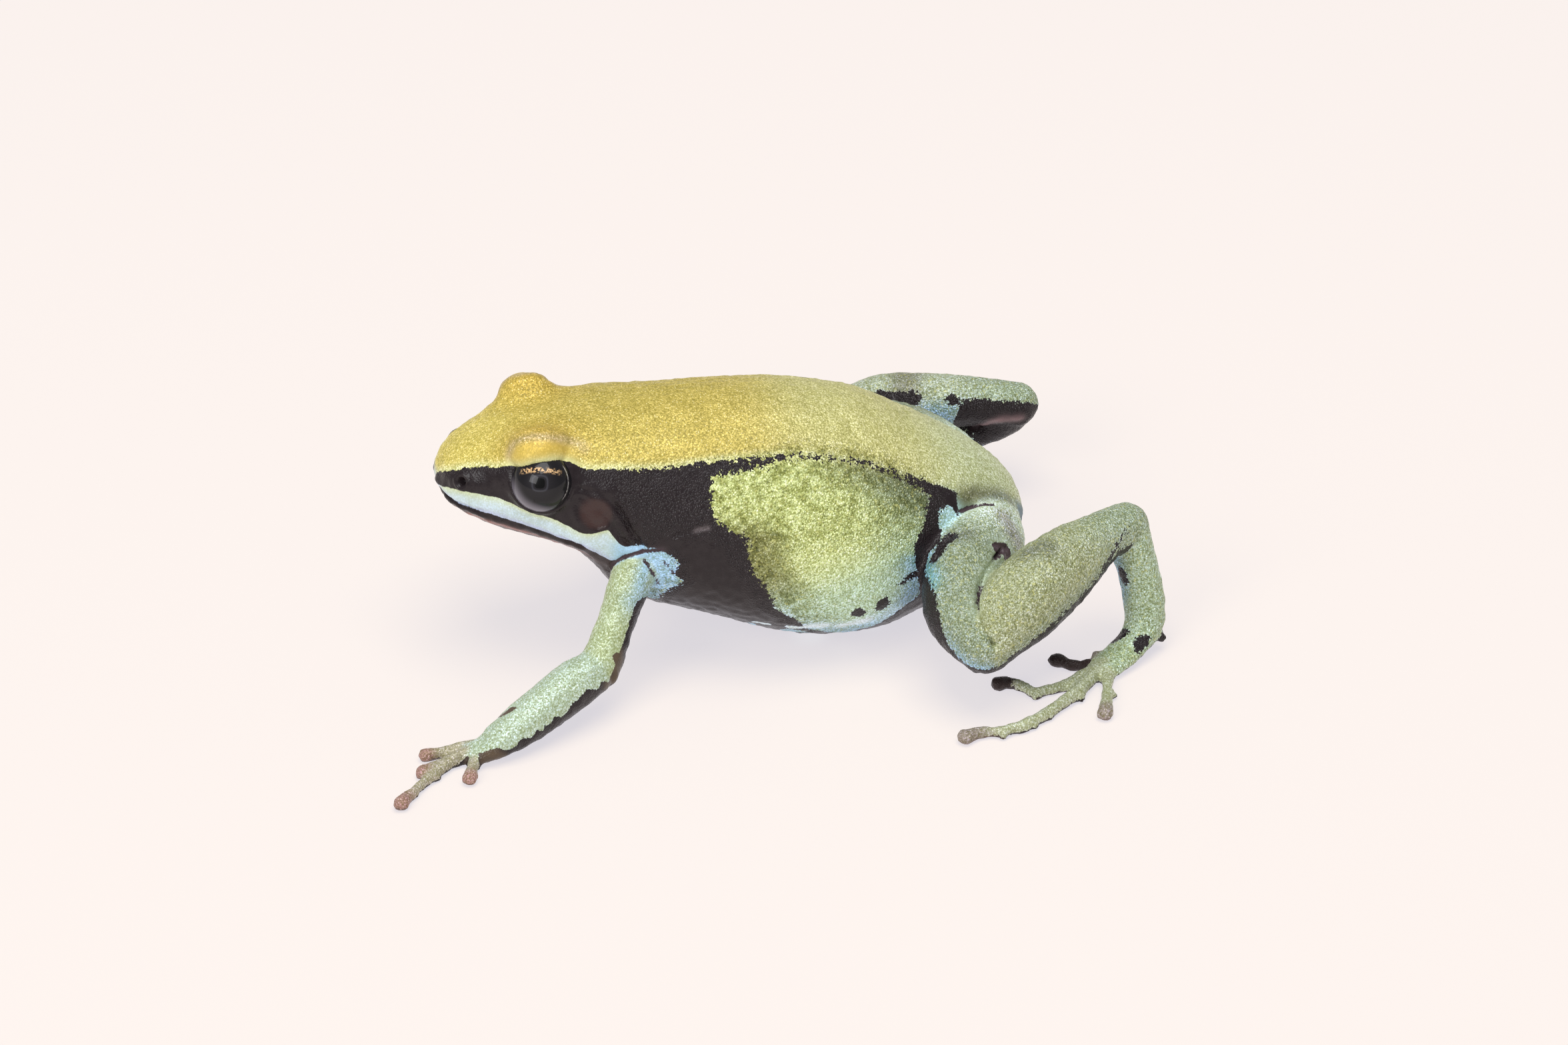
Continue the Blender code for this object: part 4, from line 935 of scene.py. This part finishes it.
def leg_coats(name, side, along, angle, from_first, from_last):
    """Coats of colour over the middle colour of a stretch of limb."""
    ankle = (ANKLE_GREEN, step_up(along - 0.72, 0.06))
    if name == "thigh":
        return ((HIP_MINT, step_up(0.3 - along, 0.05)),
                (BLUE, bell(from_first, 0.5) * step_up(0.62 - along, 0.05)),
                (BLUE, bell(from_first, 0.4) * step_up(along - 0.9, 0.03)))
    if name == "shank" and side > 0:
        return (THIGH_OLIVE, bell(from_first, 0.3)), (BLUE, bell(from_last, 0.5)), ankle
    if name == "shank":
        return ((RIGHT_SHANK, 1.0), (BLUE, step_up(angle - 150, 6) * step_up(0.74 - along, 0.02)), ankle,
                (CROSSBAR, 0.8 * step_up(0.08 - np.abs(along - 0.41), 0.015)))
    if name == "tarsus":
        return (BLUE, bell(from_first, 0.7)), (BLUE, 0.9 * step_up(-12 - angle, 6))
    if name == "arm":
        upper = (ARM_GREEN, step_up(along - 0.45, 0.06))
        return (MINT, bell(from_first, 0.3)), (BLUE, bell(from_last, 0.8)), upper
    return ()


def mark_leg(name, side, along, out, up):
    """The same as mark_trunk on a stretch of limb, by its own directions."""
    angle = np.degrees(np.arctan2(up, out * side))
    angle = np.where(angle < -90, angle + 360, angle)
    first, last = light_borders(name, side, along)
    from_first = (angle - first) / RADIAN
    from_last = (last - angle) / RADIAN
    dark = -np.minimum(from_first, from_last)
    fuzz = ARM_FUZZ if name in ("arm", "forearm", "palm") else LEG_FUZZ
    if name == "tarsus" and side < 0:
        dark = np.maximum(dark, 0.45 - along)
    if name == "arm":
        dark = np.maximum(dark, -0.12 - 0.9 * along)
        fuzz = fuzz + 0.22 * step_up(0.2 - along, 0.04)
    colour = paint(LIGHT_ZONES[name][2], *leg_coats(name, side, along, angle, from_first, from_last))
    return dark, fuzz, colour, MARK_BROWN if name == "palm" else BLACK


def mark_digit(name, dark_from, along, up):
    """The same on a finger or toe."""
    skin, end = DIGIT_COLOURS[name]
    colour = paint(skin, (end, step_up(along - 0.86, 0.03)))
    dark = (-0.25 - up) * 0.3
    if dark_from < 1:
        return np.maximum(dark, (along - dark_from) * 1.5), DIGIT_FUZZ, colour, TIP_DARK
    return dark, DIGIT_FUZZ, colour, paint(BLACK, (TIP_BROWN, step_up(along - 0.85, 0.04)))


def nearest_points(points, best, limbs):
    """For each limb its name, its own detail, which points lie nearest to it, and their places on it."""
    for name, detail, rows in limbs:
        along, out, up, near = limb_coordinates(points, rows)
        mine = near < best
        best[mine] = near[mine]
        yield name, detail, mine, along[mine], out[mine], up[mine]


def mark_skin(mesh, unfolded):
    """Store the markings as attributes. Lines are found on the points before the folds were pressed in."""
    points = read_points(mesh)
    best = trunk_nearness(points)
    dark, fuzz, colour, under = mark_trunk(points)
    for name, side, mine, along, out, up in nearest_points(points, best, STRETCHES):
        dark[mine], fuzz[mine], colour[mine], under[mine] = mark_leg(name, side, along, out, up)
    for name, dark_from, mine, along, out, up in nearest_points(points, best, DIGITS):
        dark[mine], fuzz[mine], colour[mine], under[mine] = mark_digit(name, dark_from, along, up)
    for path, half_width in LIMB_MARKS:
        dark = np.maximum(dark, half_width - path_distance(unfolded, path))
    for path, half_width, tint in TINTED_MARKS:
        inside = half_width - path_distance(unfolded, path)
        dark = np.maximum(dark, inside)
        halo = BROWN_HALO if tint == MARK_BROWN else FOLD_HALO
        under = paint(under, (tint, step_up(inside + halo, 0.05)))
        fuzz = np.where(inside > -0.3, np.minimum(fuzz, 0.06), fuzz)
    for path, half_width in PALE_MARKS:
        inside = half_width - path_distance(unfolded, path)
        dark = np.minimum(dark, -inside)
        colour = paint(colour, (PALE_BLUE, step_up(inside + 0.08, 0.05)))
        fuzz = np.where(inside > -0.2, np.minimum(fuzz, 0.05), fuzz)
    for path, half_width, tint in SOFT_PATCHES:
        colour = paint(colour, (tint, 0.85 * bell(path_distance(unfolded, path), half_width)))
    smooth = np.column_stack((dark, fuzz, colour, under))
    mean = neighbour_mean(mesh)
    for _ in range(MARK_SMOOTHING):
        smooth = 0.5 * smooth + 0.5 * mean(smooth)
    for name, first, last in (("dark", 0, 1), ("fuzz", 1, 2), ("light_colour", 2, 5), ("under_colour", 5, 8)):
        kind, field = ("FLOAT", "value") if last - first == 1 else ("FLOAT_VECTOR", "vector")
        values = smooth[:, first:last].astype(np.float32).ravel()
        mesh.attributes.new(name, kind, "POINT").data.foreach_set(field, values)


def granulate(points, normals):
    """Fine unevenness of the skin as real relief, from sums of waves."""
    rng = np.random.default_rng(7)
    height = np.zeros(len(points))
    for size in WAVE_SIZES:
        total = np.zeros(len(points))
        for _ in range(WAVE_COUNT):
            way = rng.normal(size=3)
            way *= 2 * math.pi / size / np.linalg.norm(way) * rng.uniform(0.8, 1.25)
            total += np.sin(points @ way + rng.uniform(0, 6.28))
        height += WAVE_HEIGHT * total
    points += normals * height[:, None]


def soften_lids(mesh):
    """Blend the lid domes into the top of the head."""
    offset = pair_offset(read_points(mesh), LID_CENTRE) + (0, 0, 0.3)
    reach = np.linalg.norm(offset / (1.5, 1.0, 1.0), axis=1)
    relax(mesh, LID_SOFTNESS, 0.9 * step_up(2.3 - reach, 0.2), (0.5,))


def needs_detail(points):
    """True where the mesh has to be finer: at the mouth, eyes, nostrils, eardrums and folds."""
    folded = both_sides(points)
    x, _, z = folded.T
    wanted = (x < MOUTH_CORNER_X + 0.3) & (np.abs(z - line_at(MOUTH_LINE, x)) < 0.45)
    for centre, reach in FINE_PLACES:
        wanted |= pair_distance(folded, centre) < reach
    for path, *_ in FOLDS + LEFT_FOLDS:
        wanted |= path_distance(points, path) < FINE_BY_FOLD
    return wanted


def make_skin():
    """The whole frog's skin as one closed mesh with its markings, in metres."""
    shape = bmesh.new()
    add_all_flesh(shape)
    skin = new_object("skin", shape)
    remesh = skin.modifiers.new("skin", "REMESH")
    remesh.mode = "VOXEL"
    remesh.voxel_size = VOXEL
    apply_modifiers(skin)
    mesh = skin.data
    height = read_points(mesh)[:, 2]
    relax(mesh, SKIN_SOFTNESS, np.clip((height - 0.5) / 1.2, 0.25, 1))
    soften_lids(mesh)
    refine(mesh, needs_detail(read_points(mesh)))
    relax(mesh, FINE_SOFTNESS, np.ones(len(mesh.vertices)))
    points = read_points(mesh)
    unfolded = points.copy()
    normals = read_points(mesh, "normal")
    press_forms(points, normals)
    open_eyes(points)
    mesh.vertices.foreach_set("co", points.ravel())
    reach = eye_plane(both_sides(points))[2]
    relax(mesh, RIM_SOFTNESS, 0.9 * step_up(reach - 1.36, 0.04) * step_up(2.2 - reach, 0.1), (0.5,))
    points = read_points(mesh)
    mark_skin(mesh, unfolded)
    granulate(points, normals)
    points[:, 2] = np.maximum(points[:, 2], 0.0)
    mesh.vertices.foreach_set("co", points.ravel())
    mesh.update()
    mesh.transform(Matrix.Scale(MM, 4) @ Matrix.Translation(-FOOTPRINT))
    mesh.shade_smooth()
    return skin


class Nodes:
    """Short calls for building a material's node tree. A colour is a tuple of red, green and blue."""

    def __init__(self, name):
        self.material = bpy.data.materials.new(name)
        self.material.use_nodes = True
        self.tree = self.material.node_tree
        self.shader = self.tree.nodes["Principled BSDF"]

    def add(self, kind, inputs=(), **settings):
        node = self.tree.nodes.new(kind)
        for key, value in settings.items():
            setattr(node, key, value)
        for key, value in dict(inputs).items():
            self.put(node.inputs[key], value)
        return node

    def put(self, socket, value):
        if isinstance(value, bpy.types.NodeSocket):
            self.tree.links.new(value, socket)
        elif isinstance(value, tuple):
            socket.default_value = (*value, 1)
        else:
            socket.default_value = value

    def math(self, operation, *values):
        return self.add("ShaderNodeMath", enumerate(values), operation=operation).outputs[0]

    def times(self, first, second):
        return self.math("MULTIPLY", first, second)

    def less(self, first, second):
        return self.math("SUBTRACT", first, second)

    def size(self, value):
        return self.math("ABSOLUTE", value)

    def ramp(self, value, low, high, to_low=0.0, to_high=1.0):
        node = self.add("ShaderNodeMapRange", {0: value, 1: low, 2: high, 3: to_low, 4: to_high},
                        interpolation_type="SMOOTHSTEP")
        return node.outputs[0]

    def blend(self, share, first, second, kind="MIX"):
        node = self.add("ShaderNodeMix", {0: share, 6: first, 7: second}, data_type="RGBA", blend_type=kind)
        return node.outputs[2]

    def noise(self, where, scale, detail=2.0):
        return self.add("ShaderNodeTexNoise", {"Vector": where, "Scale": scale, "Detail": detail}).outputs[0]

    def attribute(self, name, out=2):
        return self.add("ShaderNodeAttribute", attribute_name=name).outputs[out]

    def millimetres(self):
        place = self.add("ShaderNodeTexCoord").outputs["Object"]
        return self.add("ShaderNodeVectorMath", {0: place, 3: 1 / MM}, operation="SCALE").outputs[0]

    def finish(self, **inputs):
        for key, value in inputs.items():
            self.put(self.shader.inputs[key.replace("_", " ")], value)
        return self.material


def dark_share(n, where, fuzz, grain):
    """Where the skin is black: the stored field, its border made ragged by noise as far as the fuzz says."""
    ragged = n.less(n.noise(where, 4.2, 5.0), 0.5)
    edge = n.math("MULTIPLY_ADD", ragged, n.times(fuzz, 2.6), n.attribute("dark"))
    edge = n.math("MULTIPLY_ADD", n.less(0.5, grain), n.times(fuzz, 2.2), edge)
    return n.ramp(edge, -0.02, 0.02)


def pigment_value(n, where, fuzz, grain, coarse, dome, own):
    """Brightness of the light skin: granules, flecks, clouds, dark mottling and painted light and shade on
    the domes.
    """
    # Granule tops painted lighter and the gaps between them darker: partly the skin's own flecks, partly
    # painted light and shade
    fleck_and_shade = n.times(n.ramp(dome, 0.15, 0.65, 1.14, 0.8), n.ramp(own, 0.0, 1.0, 0.86, 1.2))
    fleck_and_shade = n.times(fleck_and_shade, n.ramp(grain, 0.34, 0.64, 0.7, 1.27))
    strength = n.times(n.ramp(coarse, 0.0, 1.0, 0.25, 0.95), n.ramp(fuzz, 0.1, 0.2, 1.0, 1.3))
    fleck_and_shade = n.math("MULTIPLY_ADD", n.less(fleck_and_shade, 1.0), strength, 1.0)
    cloud = n.ramp(n.noise(where, 0.9, 3.0), 0.3, 0.7, 0.95, 1.07)
    mottle = n.ramp(n.noise(where, 2.4, 5.0), 0.36, 0.62, 1.0, 0.0)
    mottle = n.times(mottle, n.ramp(fuzz, 0.16, 0.38, 0.0, 0.5))
    return n.times(n.times(fleck_and_shade, cloud), n.less(1.0, mottle))


def light_skin(n, value, fuzz, coarse, tint, dome, own):
    """Colour of the light skin: the stored colour with yellow and olive tints and single glints."""
    grey = n.add("ShaderNodeCombineXYZ", {0: value, 1: value, 2: n.math("POWER", value, 1.6)}).outputs[0]
    light = n.blend(1.0, n.attribute("light_colour", 1), grey, "MULTIPLY")
    tinted = n.times(coarse, n.ramp(fuzz, 0.1, 0.2, 0.2, 1.0))
    light = n.blend(n.times(tinted, n.ramp(tint, 0.54, 0.72, 0.0, 0.4)), light, TINT_YELLOW)
    light = n.blend(n.times(tinted, n.ramp(tint, 0.46, 0.28, 0.0, 0.36)), light, TINT_OLIVE)
    glint = n.times(n.ramp(own, 0.74, 0.8), n.ramp(dome, 0.18, 0.36, 0.5, 0.0))
    return n.blend(n.times(coarse, glint), light, GLINT)


def dark_skin(n, where, fuzz, dome, own):
    """Colour of the black skin: the stored colour with blotches of painted grey sheen and small painted pale
    glints.
    """
    # Painted sheen: greyer blotches over the black
    sheen = n.ramp(n.noise(where, 3.0, 4.0), 0.35, 0.75, 0.0, 0.25)
    under = n.blend(sheen, n.attribute("under_colour", 1), SHEEN_GREY)
    # Painted glints: small pale specks on the granule tops of the black skin
    speck_glint = n.times(n.ramp(own, 0.75, 0.85), n.ramp(fuzz, 0.12, 0.35, 0.0, 0.5))
    return n.blend(n.times(speck_glint, n.ramp(dome, 0.2, 0.4, 1.0, 0.0)), under, SPECK_GLINT_GREY)


def skin_material():
    """Granular metallic pigment over glossy black, split by the stored dark field and ragged noise."""
    n = Nodes("frog_skin")
    where = n.millimetres()
    fuzz = n.attribute("fuzz")
    grain = n.noise(where, 11.0)
    tint = n.noise(where, 7.0)
    granule = n.add("ShaderNodeTexVoronoi", {"Vector": where, "Scale": 10.5})
    dome = granule.outputs["Distance"]
    own = n.add("ShaderNodeSeparateXYZ", {0: granule.outputs["Color"]}).outputs[0]
    coarse = n.ramp(fuzz, 0.02, 0.09)
    black = dark_share(n, where, fuzz, grain)
    value = pigment_value(n, where, fuzz, grain, coarse, dome, own)
    colour = n.blend(black, light_skin(n, value, fuzz, coarse, tint, dome, own),
                     dark_skin(n, where, fuzz, dome, own))
    rough = n.times(n.ramp(tint, 0.3, 0.7, 0.36, 0.52), n.ramp(black, 0.0, 1.0, 1.0, 0.58))
    height = n.math("ADD", n.ramp(dome, 0.0, 0.75, 1.0, 0.0), n.times(tint, 0.8))
    relief_height = n.times(height, n.ramp(fuzz, 0.02, 0.2, 0.004, 0.04))
    bump = n.add("ShaderNodeBump", {"Strength": 1.0, "Distance": MM, "Height": relief_height}).outputs[0]
    metal = n.times(n.less(1.0, black), n.ramp(grain, 0.4, 0.65, 0.0, 0.3))
    return n.finish(Base_Color=colour, Roughness=rough, Normal=bump, Metallic=metal, Specular_IOR_Level=0.3)


def eye_material():
    """Glossy black iris with a gold band over the pupil, a painted grey reflection low in front and a pale
    rim.
    """
    n = Nodes("frog_eye")
    where = n.millimetres()
    x, y, _ = n.add("ShaderNodeSeparateXYZ", {0: where}).outputs
    flake = n.noise(where, 9.0, 4.0)
    cubes = n.math("ADD", n.math("POWER", n.size(x), 3.0), n.math("POWER", n.size(y), 3.0))
    pupil_reach = n.math("POWER", cubes, 1 / 3)
    radius = n.math("SQRT", n.math("ADD", n.times(x, x), n.times(y, y)))
    base = n.blend(n.ramp(radius, 0.3, 1.0), IRIS_MIDDLE, IRIS_OUTER)
    halo = n.ramp(n.size(n.less(pupil_reach, 0.36)), 0.0, 0.07, 1.0, 0.0)
    base = n.blend(n.times(halo, 0.6), base, PUPIL_HALO)
    # Painted reflection: a grey crescent low in front of the glossy eye
    low_front = n.math("MULTIPLY_ADD", x, -0.6, n.times(y, -0.8))
    reflection = n.times(n.ramp(radius, 0.8, 1.36), n.ramp(low_front, 0.5, 1.15))
    base = n.blend(n.times(reflection, 0.75), base, REFLECTION_GREY)
    arc = n.less(y, n.math("MULTIPLY_ADD", n.times(x, x), -0.16, 0.62))
    band = n.times(n.ramp(n.size(arc), 0.05, 0.17, 1.0, 0.0), n.ramp(n.size(x), 0.7, 1.05, 1.0, 0.0))
    base = n.blend(n.times(band, n.ramp(flake, 0.42, 0.56)), base, IRIS_GOLD)
    base = n.blend(n.ramp(pupil_reach, 0.22, 0.26, 1.0, 0.0), base, PUPIL_BLACK)
    rim = n.times(n.ramp(n.size(n.less(radius, 1.27)), 0.008, 0.03, 1.0, 0.0), n.ramp(x, 0.95, 1.1))
    rim = n.times(rim, n.ramp(flake, 0.4, 0.5))
    base = n.blend(n.times(rim, 0.5), base, RIM_GREY)
    return n.finish(Base_Color=base, Roughness=0.3, Specular_IOR_Level=0.1, Coat_Weight=1.0, Coat_IOR=1.3,
                    Coat_Roughness=0.03)


def make_eye(name, side, material):
    """Glossy eyeball whose own axes are across, up and outward."""
    centre, outward, upward, _ = eye_directions(side)
    shape = bmesh.new()
    bmesh.ops.create_uvsphere(shape, u_segments=96, v_segments=64, radius=BALL_RADIUS)
    eye = new_object(name, shape)
    eye.data.transform(Matrix.Scale(MM, 4))
    eye.data.materials.append(material)
    eye.data.shade_smooth()
    turn = Matrix((np.cross(upward, outward), upward, outward)).transposed().to_4x4()
    eye.matrix_world = Matrix.Translation((centre - FOOTPRINT) * MM) @ turn
    return eye


def make_floor():
    """Pale floor that glows evenly, like the photo's overexposed ground, and takes soft shadows."""
    shape = bmesh.new()
    bmesh.ops.create_grid(shape, x_segments=1, y_segments=1, size=FLOOR_SIZE)
    floor = new_object("floor", shape)
    n = Nodes("pale_floor")
    floor.data.materials.append(n.finish(Base_Color=FLOOR_COLOUR, Roughness=0.9, Specular_IOR_Level=0.0,
                                         Emission_Color=FLOOR_GLOW, Emission_Strength=1.0))


def add_light(name, place, size, power):
    """Square soft light aimed at the frame's origin."""
    lamp = bpy.data.lights.new(name, "AREA")
    lamp.size = size
    lamp.energy = power
    obj = bpy.data.objects.new(name, lamp)
    bpy.context.collection.objects.link(obj)
    obj.location = place
    obj.rotation_euler = (-Vector(place)).to_track_quat("-Z", "Y").to_euler()


def make_lights():
    """A soft box overhead, a weaker one in front and an even sky."""
    world = bpy.data.worlds.new("studio")
    bpy.context.scene.world = world
    world.use_nodes = True
    background = world.node_tree.nodes["Background"]
    background.inputs["Color"].default_value = (*WORLD_COLOUR, 1)
    background.inputs["Strength"].default_value = WORLD_STRENGTH
    for light in LIGHTS:
        add_light(*light)


def make_camera():
    """The photo's view of the frog, from the distance, height and side that the constants give."""
    lens = bpy.data.cameras.new("camera")
    lens.sensor_width = SENSOR_WIDTH
    lens.lens = FOCAL_PIXELS / PHOTO_WIDTH * SENSOR_WIDTH
    lens.clip_start = 0.001
    camera = bpy.data.objects.new("camera", lens)
    bpy.context.collection.objects.link(camera)
    turn = math.radians(CAMERA_AZIMUTH)
    lift = math.radians(CAMERA_ELEVATION)
    away = Vector((math.sin(turn) * math.cos(lift), -math.cos(turn) * math.cos(lift), math.sin(lift)))
    camera.location = Vector(np.array(CAMERA_TARGET) - FOOTPRINT) * MM + away * CAMERA_DISTANCE
    camera.rotation_euler = away.to_track_quat("Z", "Y").to_euler()
    bpy.context.scene.camera = camera


FLESH_NODES = [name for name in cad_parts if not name.startswith("eye_")]

skin = make_skin()
skin.data.materials.clear()
skin.data.materials.append(skin_material())
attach(skin, "root")
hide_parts(*FLESH_NODES)
eye_look = eye_material()
for eye_side, eye_node in ((-1, "eye_left"), (1, "eye_right")):
    ball = make_eye("ball_" + eye_node[4:], eye_side, eye_look)
    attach(ball, "root")
    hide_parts(eye_node)
make_floor()
make_lights()
make_camera()
bpy.context.scene.view_settings.view_transform = "Standard"
bpy.context.view_layer.update()
